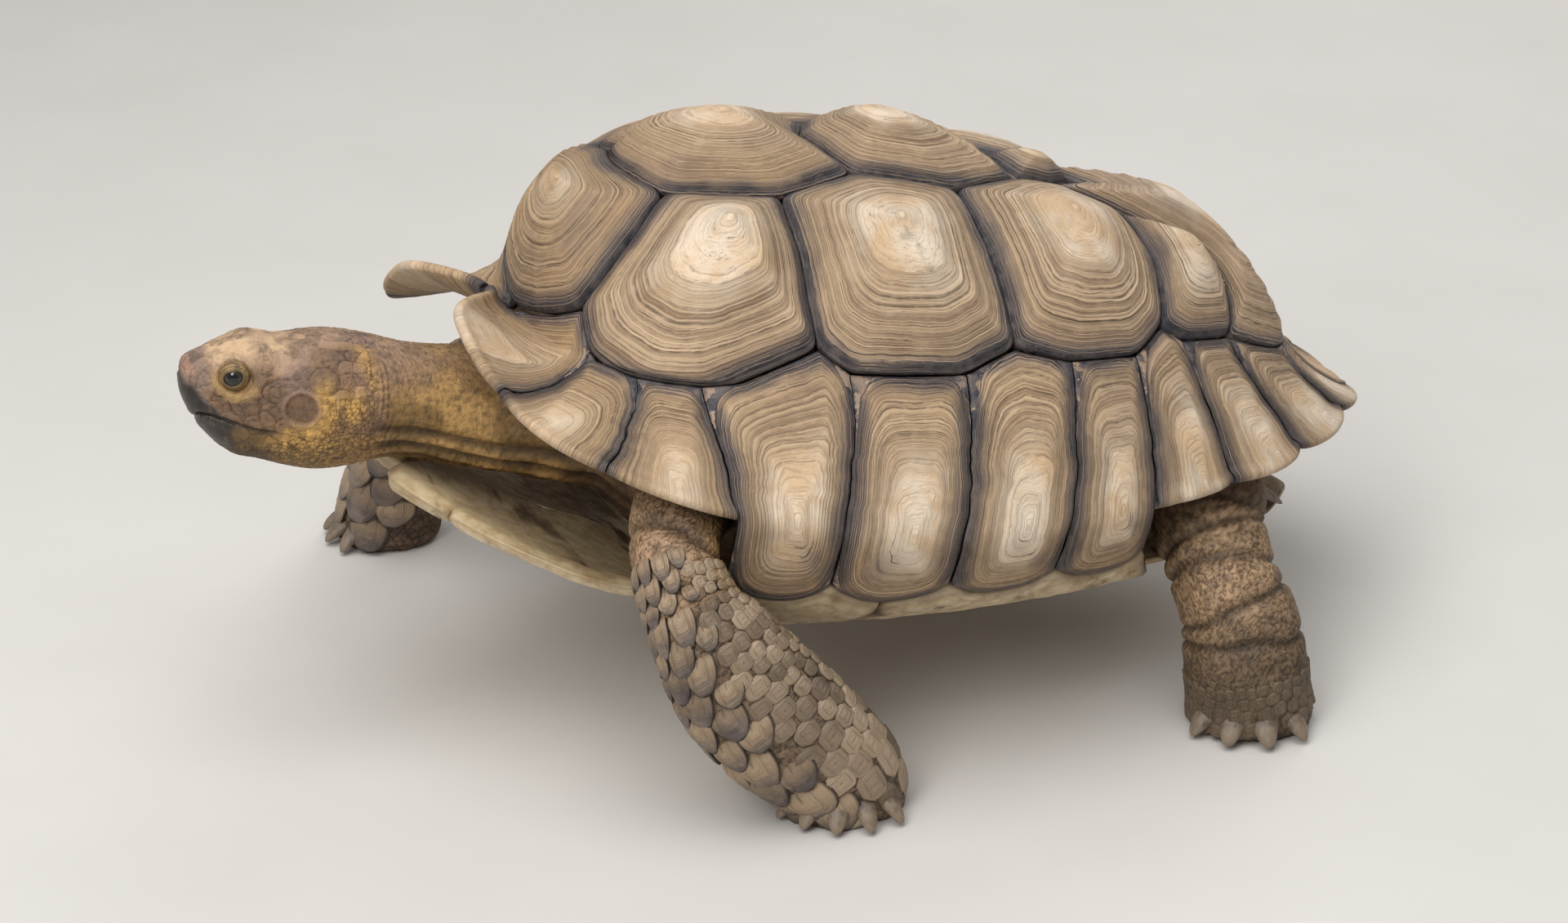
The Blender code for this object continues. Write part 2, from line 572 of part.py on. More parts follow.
def cone(name, base, tip, radius, around=6):
    """A claw or spur, sunk a little into what it grows from."""
    base, tip = np.array(base, float), np.array(tip, float)
    t = unit(tip - base)
    w = unit(np.cross(t, (0, 0, 1.0)))
    h = np.cross(w, t)
    rings = ((0.0, 1.0, 0.8), (0.55, 0.86, 0.66), (1.0, 0.50, 0.38))
    stations = [(mix(base, tip, share), radius * wide, radius * deep, w, h) for share, wide, deep in rings]
    return tube(name, stations, around, hidden=True)


def boolean(obj, other, how):
    modifier = obj.modifiers.new(how + " " + other.name, "BOOLEAN")
    modifier.operation = how
    modifier.solver = "EXACT"
    modifier.object = other


# Head, in its own frame: forward, left, up.
HEAD_AT = np.array([-0.2902, -0.0030, 0.1951])
HEAD_YAW, HEAD_PITCH = math.radians(5.1), math.radians(1.4)
LEVEL = math.cos(HEAD_PITCH)
FORWARD = np.array([-math.cos(HEAD_YAW) * LEVEL, math.sin(HEAD_YAW) * LEVEL, math.sin(HEAD_PITCH)])
LEFT = np.array([-math.sin(HEAD_YAW), -math.cos(HEAD_YAW), 0.0])
UP = np.cross(FORWARD, LEFT)
# distance forward, top, bottom, half width
HEAD = (
    (-0.004, 0.0200, -0.0440, 0.0310), (0.012, 0.0234, -0.0468, 0.0330), (0.030, 0.0250, -0.0476, 0.0335),
    (0.046, 0.0238, -0.0444, 0.0305), (0.060, 0.0270, -0.0400, 0.0275), (0.072, 0.0238, -0.0370, 0.0240),
    (0.084, 0.0200, -0.0250, 0.0190), (0.092, 0.0178, -0.0118, 0.0138), (0.0968, 0.0150, -0.0040, 0.0085),
)
EYE_AT, EYE_RADIUS = (0.0690, 0.0160, 0.0112), 0.0072
SOCKET_GAP = 0.0003
# side outlines, as (forward, up), of the blocks that cut each half of the beak from the snout
BEAKS = {
    "upper_beak": (
        (0.0745, -0.0108), (0.0821, -0.0084), (0.0880, -0.0084), (0.0905, -0.0150), (0.0905, -0.0300),
        (0.1200, -0.0300), (0.1200, 0.0110), (0.0968, 0.0108), (0.0900, 0.0085), (0.0775, -0.0045),
    ),
    "lower_beak": (
        (0.0680, -0.0500), (0.0901, -0.0500), (0.0901, -0.0150), (0.0877, -0.0088), (0.0821, -0.0088),
        (0.0745, -0.0112), (0.0680, -0.0135),
    ),
}


def head_point(a, b, c):
    return HEAD_AT + FORWARD * a + LEFT * b + UP * c


def beak_block(name, outline, grow=0.0):
    """A block across the snout with this side outline, moved outwards where it makes room."""
    outline = np.array(outline)
    along = unit(np.roll(outline, -1, 0) - outline)
    out = np.stack([along[:, 1], -along[:, 0]], -1)
    before = np.roll(out, 1, 0)
    outline = outline + (out + before) / (1 + (out * before).sum(-1, keepdims=True)) * grow
    n = len(outline)
    verts = np.array([head_point(a, b, c) for b in (-0.05, 0.05) for a, c in outline])
    faces = [tuple(range(n))[::-1], tuple(range(n, 2 * n))]
    faces += [(i, (i + 1) % n, n + (i + 1) % n, n + i) for i in range(n)]
    return make(name, verts, outward(verts, faces), True)


def head_tube(name, hidden=False):
    out = [(head_point(a, 0, (t + b) / 2), w, (t - b) / 2, LEFT, UP) for a, t, b, w in HEAD]
    return tube(name, out, 16, 2.3, hidden)


def ball(name, side, radius, hidden):
    """An eye, or the room for it."""
    centre = head_point(EYE_AT[0], EYE_AT[1] * side, EYE_AT[2]) + CENTRE
    bpy.ops.mesh.primitive_uv_sphere_add(segments=12, ring_count=8, radius=radius, location=centre)
    obj = bpy.context.object
    obj.name = name
    obj.hide_render = hidden
    for holder in list(obj.users_collection):
        holder.objects.unlink(obj)
    bpy.data.collections["cutters" if hidden else "sulcata tortoise"].objects.link(obj)
    if hidden:
        obj.display_type = "WIRE"
    else:
        finish(obj)
    return obj


def build_head():
    head = head_tube("head")
    for name, outline in BEAKS.items():
        boolean(head_tube(name), beak_block(name + " block", outline), "INTERSECT")
        boolean(head, beak_block(name + " pocket", outline, SOCKET_GAP), "DIFFERENCE")
    for side, word in ((1, "left"), (-1, "right")):
        ball(f"eye_{word}", side, EYE_RADIUS, False)
        boolean(head, ball(f"socket_{word}", side, EYE_RADIUS + SOCKET_GAP, True), "DIFFERENCE")


# Neck, and tail, as (centre, half width, half height)
NECK = (
    ((-0.150, 0.0, 0.155), 0.056, 0.036), ((-0.190, 0.0, 0.1600), 0.050, 0.036),
    ((-0.218, 0.0, 0.1645), 0.043, 0.0325), ((-0.247, 0.0, 0.1705), 0.037, 0.0302),
    ((-0.270, -0.001, 0.1768), 0.0335, 0.0298),
)
TAIL = (
    ((0.150, 0, 0.125), 0.026, 0.022), ((0.192, 0, 0.104), 0.021, 0.018),
    ((0.216, 0.004, 0.086), 0.015, 0.013), ((0.232, 0.010, 0.070), 0.009, 0.0085),
    ((0.240, 0.014, 0.061), 0.004, 0.004),
)


def build_neck(cutter):
    forward, top, bottom, wide = HEAD[0]
    stations = [(*station, (0, -1.0, 0), (0, 0, 1.0)) for station in NECK]
    meeting = head_point(forward - 0.0004, 0, (top + bottom) / 2)
    stations.append((meeting, wide, (top - bottom) / 2 * 0.97, LEFT, UP))
    boolean(tube("neck", stations, 16, 2.2), cutter, "DIFFERENCE")


def build_tail(cutter):
    stations = [(*station, (0, -1.0, 0), (0.5, 0, 0.866)) for station in TAIL]
    boolean(tube("tail", stations, 10), cutter, "DIFFERENCE")


SOLE_SHARE = 0.86
# Legs as (centre, half width, half depth) from the hip or shoulder down, then the sole in the same form.
LEGS = {
    "front_leg_left": ((
        ((-0.118, -0.066, 0.146), 0.030, 0.026), ((-0.152, -0.112, 0.150), 0.026, 0.023),
        ((-0.168, -0.149, 0.141), 0.0225, 0.021), ((-0.1650, -0.168, 0.121), 0.0240, 0.0205),
        ((-0.1565, -0.177, 0.104), 0.0300, 0.0210), ((-0.141, -0.181, 0.079), 0.0350, 0.0215),
        ((-0.1187, -0.182, 0.0525), 0.0360, 0.0230), ((-0.0945, -0.179, 0.0265), 0.0330, 0.0260),
    ), ((-0.086, -0.176), 0.032, 0.028)),
    "front_leg_right": ((
        ((-0.118, 0.066, 0.138), 0.030, 0.026), ((-0.155, 0.108, 0.140), 0.029, 0.023),
        ((-0.187, 0.140, 0.126), 0.027, 0.022), ((-0.208, 0.165, 0.100), 0.029, 0.0215),
        ((-0.224, 0.183, 0.070), 0.030, 0.0230), ((-0.234, 0.194, 0.044), 0.030, 0.0240),
        ((-0.240, 0.201, 0.021), 0.030, 0.0260),
    ), ((-0.242, 0.203), 0.030, 0.028)),
    "hind_leg_left": ((
        ((0.118, -0.060, 0.122), 0.034, 0.028), ((0.140, -0.094, 0.116), 0.034, 0.028),
        ((0.138, -0.120, 0.0945), 0.030, 0.028), ((0.138, -0.140, 0.0765), 0.0285, 0.028),
        ((0.1425, -0.150, 0.059), 0.0310, 0.029), ((0.1445, -0.155, 0.042), 0.0330, 0.030),
        ((0.147, -0.157, 0.020), 0.0325, 0.031),
    ), ((0.149, -0.157), 0.034, 0.031)),
    "hind_leg_right": ((
        ((0.118, 0.060, 0.116), 0.034, 0.028), ((0.140, 0.094, 0.112), 0.034, 0.028),
        ((0.140, 0.120, 0.092), 0.031, 0.028), ((0.129, 0.142, 0.066), 0.030, 0.029),
        ((0.117, 0.155, 0.042), 0.031, 0.030), ((0.109, 0.161, 0.020), 0.0325, 0.031),
    ), ((0.106, 0.163), 0.034, 0.031)),
}
# Claws: how many, the direction the toes point in degrees from -X towards -Y, their fan, length and radius.
CLAWS = {
    "front_leg_left": (5, 66, 104, 0.0125, 0.0076), "front_leg_right": (5, -20, 104, 0.0125, 0.0076),
    "hind_leg_left": (4, 66, 92, 0.012, 0.0090), "hind_leg_right": (4, -40, 92, 0.012, 0.0090),
}
CLAW_ROOT, CLAW_DROP = 0.0135, 0.0095
SPURS = {
    "hind_leg_left": ((0.164, -0.101, 0.112), (0.1885, -0.101, 0.096)),
    "hind_leg_right": ((0.162, 0.108, 0.096), (0.185, 0.112, 0.088)),
}
SPUR_RADIUS = 0.0065


def toes(name, sole):
    """(base, tip) of each claw of a foot, fanned round the front of its sole."""
    count, aim, fan, length, _ = CLAWS[name]
    (x, y), wide, deep = sole
    for turn in np.radians(aim + fan * np.linspace(-0.5, 0.5, count)):
        out = np.array([-math.cos(turn), -math.sin(turn), 0.0])
        root = np.array([x, y, CLAW_ROOT]) + out * (wide, deep, 0) * 0.84
        yield root - out * 0.004, root + out * length - (0, 0, CLAW_DROP)


def build_legs(cutter):
    for name, (stations, sole) in LEGS.items():
        leg = limb(name, stations, sole)
        boolean(leg, cutter, "DIFFERENCE")
        for number, (base, tip) in enumerate(toes(name, sole)):
            boolean(leg, cone(f"{name} claw {number}", base, tip, CLAWS[name][-1]), "UNION")
        if name in SPURS:
            boolean(leg, cone(name + " spur", *SPURS[name], SPUR_RADIUS), "UNION")


def build():
    for obj in list(bpy.data.objects):
        bpy.data.objects.remove(obj)
    for name in ("sulcata tortoise", "cutters"):
        bpy.context.scene.collection.children.link(bpy.data.collections.new(name))
    build_carapace()
    build_marginals()
    build_plastron()
    trunk("trunk")
    cutter = trunk("trunk room", 1.005, hidden=True)
    build_neck(cutter)
    build_head()
    build_legs(cutter)
    build_tail(cutter)


build()
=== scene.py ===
"""Looks of a walking sulcata tortoise, life size: growth-ringed scutes, scaly skin, horny beak and nails.

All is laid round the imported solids, in metres and in their frame:
head end -X, left side -Y, up +Z, floor at z = 0."""
import math
import bpy
import bmesh
import numpy as np
from mathutils import Matrix


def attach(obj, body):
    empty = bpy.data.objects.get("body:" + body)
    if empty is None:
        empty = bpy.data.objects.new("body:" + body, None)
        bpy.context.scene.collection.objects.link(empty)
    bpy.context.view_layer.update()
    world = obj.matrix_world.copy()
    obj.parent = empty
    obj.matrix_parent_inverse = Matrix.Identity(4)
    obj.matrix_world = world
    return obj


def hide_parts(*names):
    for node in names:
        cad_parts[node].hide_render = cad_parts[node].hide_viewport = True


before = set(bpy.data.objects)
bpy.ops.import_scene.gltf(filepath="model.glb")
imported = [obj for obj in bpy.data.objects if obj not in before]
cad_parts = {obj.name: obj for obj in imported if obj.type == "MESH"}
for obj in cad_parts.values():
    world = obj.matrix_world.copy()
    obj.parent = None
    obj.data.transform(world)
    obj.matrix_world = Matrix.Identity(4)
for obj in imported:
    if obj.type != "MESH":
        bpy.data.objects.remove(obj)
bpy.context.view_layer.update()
CENTRE = np.array([0.05867, -0.01279, 0.0])  # from the body's own origin to the frame's

# ---------------------------------------------------------------- small tools


def mix(a, b, t):
    return a + (b - a) * t


def smooth(a, b, x):
    """0 below a, 1 above b, and a smooth step between; a may be the larger."""
    t = np.clip((np.asarray(x, float) - a) / (b - a), 0, 1)
    return t * t * (3 - 2 * t)


def bump(x, width):
    return np.exp(-(np.asarray(x, float) / width) ** 2)


def unit(v):
    return v / np.maximum(np.linalg.norm(v, axis=-1, keepdims=True), 1e-12)


def scatter(cell, seed=0):
    """An even spread of numbers from 0 to 1, one for each whole-number cell."""
    primes = np.array([73856093, 19349663, 83492791], np.uint64)[: cell.shape[-1]]
    low_half = np.uint64(0xFFFFFFFF)
    x = (cell.astype(np.int64).astype(np.uint64) * primes)
    x = np.bitwise_xor.reduce(x, axis=-1) + np.uint64(seed * 7919 + 11)
    for shift, factor in ((15, 2246822519), (13, 3266489917), (16, 668265263)):
        x = ((x & low_half) ^ ((x & low_half) >> np.uint64(shift))) * np.uint64(factor)
    return ((x >> np.uint64(8)) & np.uint64(0xFFFF)).astype(float) / 0xFFFF


def noise(p, size, seed=0):
    """Smooth noise from -1 to 1 whose features are about this size."""
    q = np.asarray(p, float) / size + 64.0
    cell = np.floor(q)
    f = q - cell
    f = f * f * (3 - 2 * f)
    total = 0.0
    for corner in np.ndindex(*(2,) * q.shape[-1]):
        weight = np.prod(np.where(np.array(corner) == 1, f, 1 - f), axis=-1)
        total = total + weight * scatter(cell + corner, seed)
    return total * 2 - 1


def cells(q, seed=0, loose=0.75):
    """Cells of a pattern whose cells are 1 across, as (gap, number).

    The gap is how much nearer a point is to its own cell than to the next, and the number is the cell's own."""
    base = np.floor(q)
    near = np.full(q.shape[:-1], 9.0)
    other, who = near.copy(), near.copy()
    for step in np.ndindex(*(3,) * q.shape[-1]):
        cell = base + step - 1
        place = np.stack([scatter(cell, seed + 1 + k) for k in range(q.shape[-1])], -1)
        if q.shape[-1] == 2:  # every other row is shifted by half a cell
            place[..., 0] = mix(0.5, place[..., 0], loose) + 0.5 * (cell[..., 1] % 2) - 0.25
            place[..., 1] = mix(0.5, place[..., 1], loose)
        else:
            place = mix(0.5, place, loose)
        far = np.linalg.norm(cell + place - q, axis=-1)
        closer = far < near
        other = np.where(closer, near, np.minimum(other, far))
        who = np.where(closer, scatter(cell, seed), who)
        near = np.where(closer, far, near)
    return other - near, who


def periodic_smooth(loop, times):
    """A closed loop with its corners eased."""
    for _ in range(times):
        loop = (np.roll(loop, 1, 0) + 2 * loop + np.roll(loop, -1, 0)) / 4
    return loop


def add_mesh(name, verts, faces, material, replaces=(), shades=(), floats=()):
    """A smooth-shaded piece of the tortoise, with its colour masks and number attributes."""
    mesh = bpy.data.meshes.new(name)
    mesh.from_pydata(np.asarray(verts).tolist(), [], faces)
    mesh.polygons.foreach_set("use_smooth", [True] * len(mesh.polygons))
    for kind, field, given in (("FLOAT_COLOR", "color", shades), ("FLOAT", "value", floats)):
        for label, value in dict(given).items():
            layer = mesh.attributes.new(label, kind, "POINT")
            layer.data.foreach_set(field, np.asarray(value, np.float32).ravel())
    mesh.materials.append(material)
    mesh.update()
    piece = bpy.data.objects.new(name, mesh)
    bpy.context.scene.collection.objects.link(piece)
    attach(piece, "root")
    if replaces:
        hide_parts(*replaces)
    return piece


# ---------------------------------------------------------------- materials


class Nodes:
    """Short forms for building a material's node tree."""

    def __init__(self, name, roughness=0.6):
        self.material = bpy.data.materials.new(name)
        self.material.use_nodes = True
        self.tree = self.material.node_tree
        self.surface = self.tree.nodes["Principled BSDF"]
        self.surface.inputs["Roughness"].default_value = roughness
        self.where = self.tree.nodes.new("ShaderNodeTexCoord").outputs["Object"]

    def put(self, socket, value):
        if isinstance(value, bpy.types.NodeSocket):
            self.tree.links.new(value, socket)
        elif isinstance(value, tuple) and len(value) == 3 and socket.type == "RGBA":
            socket.default_value = (*value, 1)
        else:
            socket.default_value = value

    def math(self, how, a, b):
        node = self.tree.nodes.new("ShaderNodeMath")
        node.operation = how
        self.put(node.inputs[0], a)
        self.put(node.inputs[1], b)
        return node.outputs[0]

    def times(self, a, b):
        return self.math("MULTIPLY", a, b)

    def plus(self, a, b):
        return self.math("ADD", a, b)

    def sum(self, *terms):
        """Sum of (value, weight) terms."""
        total = self.times(*terms[0])
        for term in terms[1:]:
            total = self.plus(total, self.times(*term))
        return total

    def rest(self, value):
        """What is left of 1."""
        return self.math("SUBTRACT", 1.0, value)

    def layers(self, colour, *laid):
        """A colour with others laid over it in turn, each given as (colour, how much of it)."""
        for over, share in laid:
            colour = self.blend(colour, over, share)
        return colour

    def blend(self, a, b, t, how="MIX"):
        node = self.tree.nodes.new("ShaderNodeMix")
        node.data_type, node.blend_type = "RGBA", how
        self.put(node.inputs["Factor"], t)
        self.put(node.inputs[6], a)
        self.put(node.inputs[7], b)
        return node.outputs[2]

    def tinted(self, colour, by):
        """A colour multiplied by another."""
        return self.blend(colour, by, 1.0, "MULTIPLY")

    def steps(self, value, low, high, out_low=0.0, out_high=1.0):
        node = self.tree.nodes.new("ShaderNodeMapRange")
        node.interpolation_type = "SMOOTHSTEP"
        self.put(node.inputs["Value"], value)
        for label, number in (("From Min", low), ("From Max", high), ("To Min", out_low), ("To Max", out_high)):
            node.inputs[label].default_value = number
        return node.outputs[0]

    def noise(self, scale, detail=4.0, rough=0.55, stretch=(1, 1, 1), w=None):
        node = self.tree.nodes.new("ShaderNodeTexNoise")
        node.inputs["Scale"].default_value = scale
        node.inputs["Detail"].default_value = detail
        node.inputs["Roughness"].default_value = rough
        if w is not None:
            node.noise_dimensions = "1D"
            self.put(node.inputs["W"], w)
            return node.outputs["Fac"]
        turn = self.tree.nodes.new("ShaderNodeMapping")
        turn.inputs["Scale"].default_value = stretch
        self.put(turn.inputs["Vector"], self.where)
        self.put(node.inputs["Vector"], turn.outputs[0])
        return node.outputs["Fac"]

    def wrinkles(self, scale):
        """Distance to the borders of a pattern of irregular cells."""
        node = self.tree.nodes.new("ShaderNodeTexVoronoi")
        node.feature = "DISTANCE_TO_EDGE"
        node.inputs["Scale"].default_value = scale
        self.put(node.inputs["Vector"], self.where)
        return node.outputs["Distance"]

    def attribute(self, name):
        node = self.tree.nodes.new("ShaderNodeAttribute")
        node.attribute_name = name
        return node

    def masks(self, name):
        """The four channels of a colour attribute."""
        node = self.attribute(name)
        split = self.tree.nodes.new("ShaderNodeSeparateColor")
        self.put(split.inputs[0], node.outputs["Color"])
        return (*split.outputs, node.outputs["Alpha"])

    def relief(self, *heights):
        """Bump from (height, size of its relief in metres) pairs, one over the other."""
        normal = None
        for height, size in heights:
            node = self.tree.nodes.new("ShaderNodeBump")
            node.inputs["Distance"].default_value = size
            self.put(node.inputs["Height"], height)
            if normal is not None:
                self.put(node.inputs["Normal"], normal)
            normal = node.outputs[0]
        self.put(self.surface.inputs["Normal"], normal)

    def finish(self, colour, roughness=None):
        self.put(self.surface.inputs["Base Color"], colour)
        if roughness is not None:
            self.put(self.surface.inputs["Roughness"], roughness)
        return self.material


def shell_material():
    """Horn of the scutes, from their masks of areola, slate new growth, grooves and each ring's paleness."""
    m = Nodes("shell horn", 0.6)
    areola, slate, groove, tone = m.masks("growth")
    warm = m.attribute("warm").outputs["Fac"]
    grain, mottle, patch, cloud = m.noise(900, 4), m.noise(150, 5, 0.6), m.noise(34, 4, 0.6), m.noise(11, 3)
    specks = m.noise(420, 5, 0.7)
    ring = m.plus(m.attribute("ring").outputs["Fac"], m.sum((m.noise(60, 3), 0.8), (mottle, 0.35)))
    stripe, fibre = m.noise(2.2, 3.0, 0.7, w=ring), m.noise(9.0, 3.0, 0.75, w=ring)
    streak = m.noise(3.6, 2.5, 0.65, w=ring)

    pale = m.sum((stripe, 0.70), (tone, 0.24), (patch, 0.45))
    base = m.blend((0.275, 0.168, 0.098), (0.660, 0.470, 0.290), m.steps(pale, 0.42, 0.84))
    heart = m.blend((0.640, 0.445, 0.265), (0.760, 0.640, 0.500), m.steps(patch, 0.38, 0.64))
    heart = m.blend(heart, (0.540, 0.340, 0.170), m.steps(mottle, 0.56, 0.82, 0, 0.55))
    thin = m.times(m.steps(streak, 0.55, 0.64), m.steps(mottle, 0.32, 0.58, 0.10, 0.80))
    band = m.sum((slate, 1.10), (streak, 3.2), (mottle, 0.8))
    dark = m.blend((0.028, 0.027, 0.036), (0.120, 0.098, 0.092), m.steps(mottle, 0.38, 0.66))
    colour = m.layers(
        base,
        ((0.330, 0.240, 0.190), m.steps(cloud, 0.52, 0.72, 0, 0.45)),
        ((0.500, 0.325, 0.160), m.times(warm, m.steps(patch, 0.30, 0.70, 0.25, 0.95))),
        (heart, m.times(areola, m.rest(m.times(warm, 0.45)))),
        ((0.135, 0.085, 0.056), m.times(thin, m.rest(m.times(areola, 0.80)))),
        ((0.110, 0.072, 0.050), m.times(groove, m.steps(mottle, 0.25, 0.60, 0.30, 0.85))),
        ((0.270, 0.190, 0.140), m.times(m.steps(slate, 0.02, 0.55), m.steps(patch, 0.30, 0.60, 0.35, 0.80))),
        (dark, m.times(m.steps(band, 2.64, 2.82), m.steps(slate, 0.02, 0.20))),
        ((0.64, 0.57, 0.49), m.steps(grain, 0.60, 0.80, 0, 0.24)),
        ((0.150, 0.100, 0.070), m.steps(specks, 0.64, 0.78, 0, 0.40)),
    )
    m.relief((fibre, 0.0007), (streak, 0.0006), (stripe, 0.0004), (mottle, 0.0006), (grain, 0.00022))
    return m.finish(colour, m.steps(m.sum((mottle, 1.0), (slate, -0.30)), 0.1, 0.8, 0.46, 0.72))


def plastron_material():
    """Cream-yellow horn of the underside, with brown streaks and a dull dusty bloom."""
    m = Nodes("plastron horn", 0.62)
    areola, slate, groove, tone = m.masks("growth")
    grain, mottle, patch = m.noise(900, 4), m.noise(120, 5, 0.6), m.noise(16, 4, 0.6)
    streak = m.noise(46, 4, 0.6, (1, 0.25, 1))
    colour = m.layers(
        m.blend((0.400, 0.285, 0.165), (0.660, 0.540, 0.360), m.steps(mottle, 0.30, 0.66)),
        ((0.480, 0.330, 0.130), m.steps(tone, 0.2, 0.9, 0, 0.35)),
        ((0.700, 0.620, 0.490), m.times(areola, 0.5)),
        ((0.120, 0.075, 0.035), m.times(m.steps(streak, 0.54, 0.66), m.steps(patch, 0.36, 0.55))),
        ((0.090, 0.060, 0.040), m.times(m.math("MAXIMUM", groove, slate), 0.55)),
        ((0.70, 0.64, 0.54), m.steps(grain, 0.60, 0.80, 0, 0.30)),
    )
    m.relief((streak, 0.0005), (mottle, 0.0006), (grain, 0.00022))
    return m.finish(colour)


# ---------------------------------------------------------------- shape of the shell

TILT, ROLL, CLEAR = math.radians(2.36), math.radians(2.38), 0.0598
RIM = dict(front=0.2595, rear=0.2601, half=0.1878, taper=0.1189, blunt_front=0.6605, blunt_rear=1.0157,
           notch=0.0046, z=0.0732, z_front=0.0692, lip=0.0310, z_rear=0.0106, droop=0.012)
KEEL = dict(front=0.2167, rear=0.2163, half=0.1408, taper=0.1890, blunt_front=0.7241, blunt_rear=0.7264,
            z=0.1476, z_front=0.0046, z_rear=-0.0372)
SPINE = dict(front=-0.1633, rear=0.1008, top=0.2361, x_top=-0.1162, bend_front=0.956, bend_rear=0.874)
ROUND_END, ROUND_SIDE, ROUND_FRONT = math.radians(58), math.radians(56), math.radians(52)
FLARE_AHEAD, FLARE_DOWN = 0.018, 0.010  # of the right front marginals


def rim_line(phi, side):
    """The shell's free edge."""
    c, s = np.cos(phi), np.abs(np.sin(phi))
    r, front, deg = RIM, c > 0, np.degrees(phi)
    x = -np.where(front, r["front"], r["rear"]) * c + r["notch"] * bump(deg, 10) + 0.028 * bump(deg, 3.2)
    y = side * r["half"] * s ** np.where(front, r["blunt_front"], r["blunt_rear"]) * (1 + r["taper"] * c)
    z = r["z"] + np.where(front, r["z_front"], r["z_rear"]) * c * c + r["lip"] * bump(deg, 16)
    z = z - 0.009 * bump(deg, 3.2) - r["droop"] * np.clip((deg - 150) / 26, 0, 1) ** 2
    lobe = np.where(side > 0, bump(deg - 20, 13), 0)
    return np.stack([x - lobe * FLARE_AHEAD, y, z - lobe * FLARE_DOWN], -1)


def keel_line(phi, side):
    """The bend of the shell above its marginals."""
    c, s = np.cos(phi), np.abs(np.sin(phi))
    k, front = KEEL, c > 0
    x = -np.where(front, k["front"], k["rear"]) * c
    y = side * k["half"] * s ** np.where(front, k["blunt_front"], k["blunt_rear"]) * (1 + k["taper"] * c)
    return np.stack([x, y, k["z"] + np.where(front, k["z_front"], k["z_rear"]) * c * c], -1)


def dome(phi, u, side):
    """The carapace as one plain surface.

    phi runs from the front of the midline (0) to the rear (pi), and u from the spine (0) over the line
    above the marginals (1) to the free rim (2)."""
    phi, u, side = np.broadcast_arrays(np.asarray(phi, float), np.asarray(u, float), np.asarray(side, float))
    x = 0.5 * (SPINE["front"] + SPINE["rear"]) - 0.5 * (SPINE["rear"] - SPINE["front"]) * np.cos(phi)
    ahead = x - SPINE["x_top"]
    curve = np.where(ahead < 0, SPINE["bend_front"], SPINE["bend_rear"])
    top = SPINE["top"] - curve * ahead * ahead
    k, r = keel_line(phi, side), rim_line(phi, side)
    c = np.cos(phi)
    bend = mix(np.where(c > 0, ROUND_FRONT, ROUND_END), ROUND_SIDE, np.sin(phi) ** 2)
    lean = -2 * curve * ahead * (k[..., 0] - x)

    def over(v):
        f, g = np.sin(v * bend) / np.sin(bend), (1 - np.cos(v * bend)) / (1 - np.cos(bend))
        z = top + lean * f + (k[..., 2] - top - lean) * g
        return np.stack([mix(x, k[..., 0], f), k[..., 1] * f, z], -1)

    upper = over(np.clip(u, 0, 1))
    t = np.clip(u - 1, 0, 1.2)[..., None]
    reach = np.linalg.norm(r - k, axis=-1, keepdims=True)
    share = (0.6 * np.clip(c, 0, 1) ** 2)[..., None]
    along = unit(over(np.ones_like(u)) - over(np.full_like(u, 0.98)))
    mid = k + (along * (1 - share) + unit(r - k) * share) * reach * 0.5
    flank = k * (1 - t) ** 2 + 2 * mid * t * (1 - t) + r * t * t
    return np.where((u <= 1)[..., None], upper, flank)


def to_frame(p):
    """From the body's own frame to the model's: the walking animal pitches and leans a little."""
    p = np.asarray(p, float)
    c, s = math.cos(ROLL), math.sin(ROLL)
    y, z = p[..., 1] * c + p[..., 2] * s, p[..., 2] * c - p[..., 1] * s
    c, s = math.cos(TILT), math.sin(TILT)
    return np.stack([p[..., 0] * c + z * s, y, z * c - p[..., 0] * s + CLEAR], -1) + CENTRE


# Corners of the carapace's seams on one side, as (phi in degrees, u), named after the plates that meet there.
SEAMS = {
    "nuchal": (0, 1.0), "tail": (180, 1.0),
    "v12": (0, 0), "v23": (77.0, 0), "v34": (126.0, 0), "v45": (161.0, 0),
    "v1v2c1": (38.4, 0.36), "c1c2v2": (64.2, 0.38), "v2v3c2": (81.0, 0.26), "c2c3v3": (100.2, 0.32),
    "v3v4c3": (121.5, 0.17), "v4v5c3": (133.0, 0.16), "c3c4v5": (144.0, 0.30), "c4v5": (157.0, 0.62),
    "v1c1m1": (19.8, 0.86), "c1m1m2": (23.0, 0.98), "c1m2m3": (34.6, 1.06), "c1m3m4": (45.4, 1.05),
    "c1c2m4": (64.9, 0.90), "c2m4m5": (69.1, 0.97), "c2m5m6": (85.7, 1.0), "c2c3m6": (94.2, 0.94),
    "c3m6m7": (102.4, 1.0), "c3m7m8": (113.5, 1.0), "c3c4m8": (121.3, 0.90), "c4m8m9": (124.4, 0.95),
    "c4m9m10": (136.8, 0.94), "v5m10m11": (157.1, 1.03), "v5m11": (169.0, 1.0), "right v5m11": (191.0, 1.0),
}
# Free-edge ends of the seams between marginals, in degrees; the last lies past the supracaudal.
RIM_SEAMS = (0, 18.2, 37.8, 55.6, 68.6, 83.1, 96.3, 108.7, 120.9, 136.1, 153.2, 168.0, 192.0)
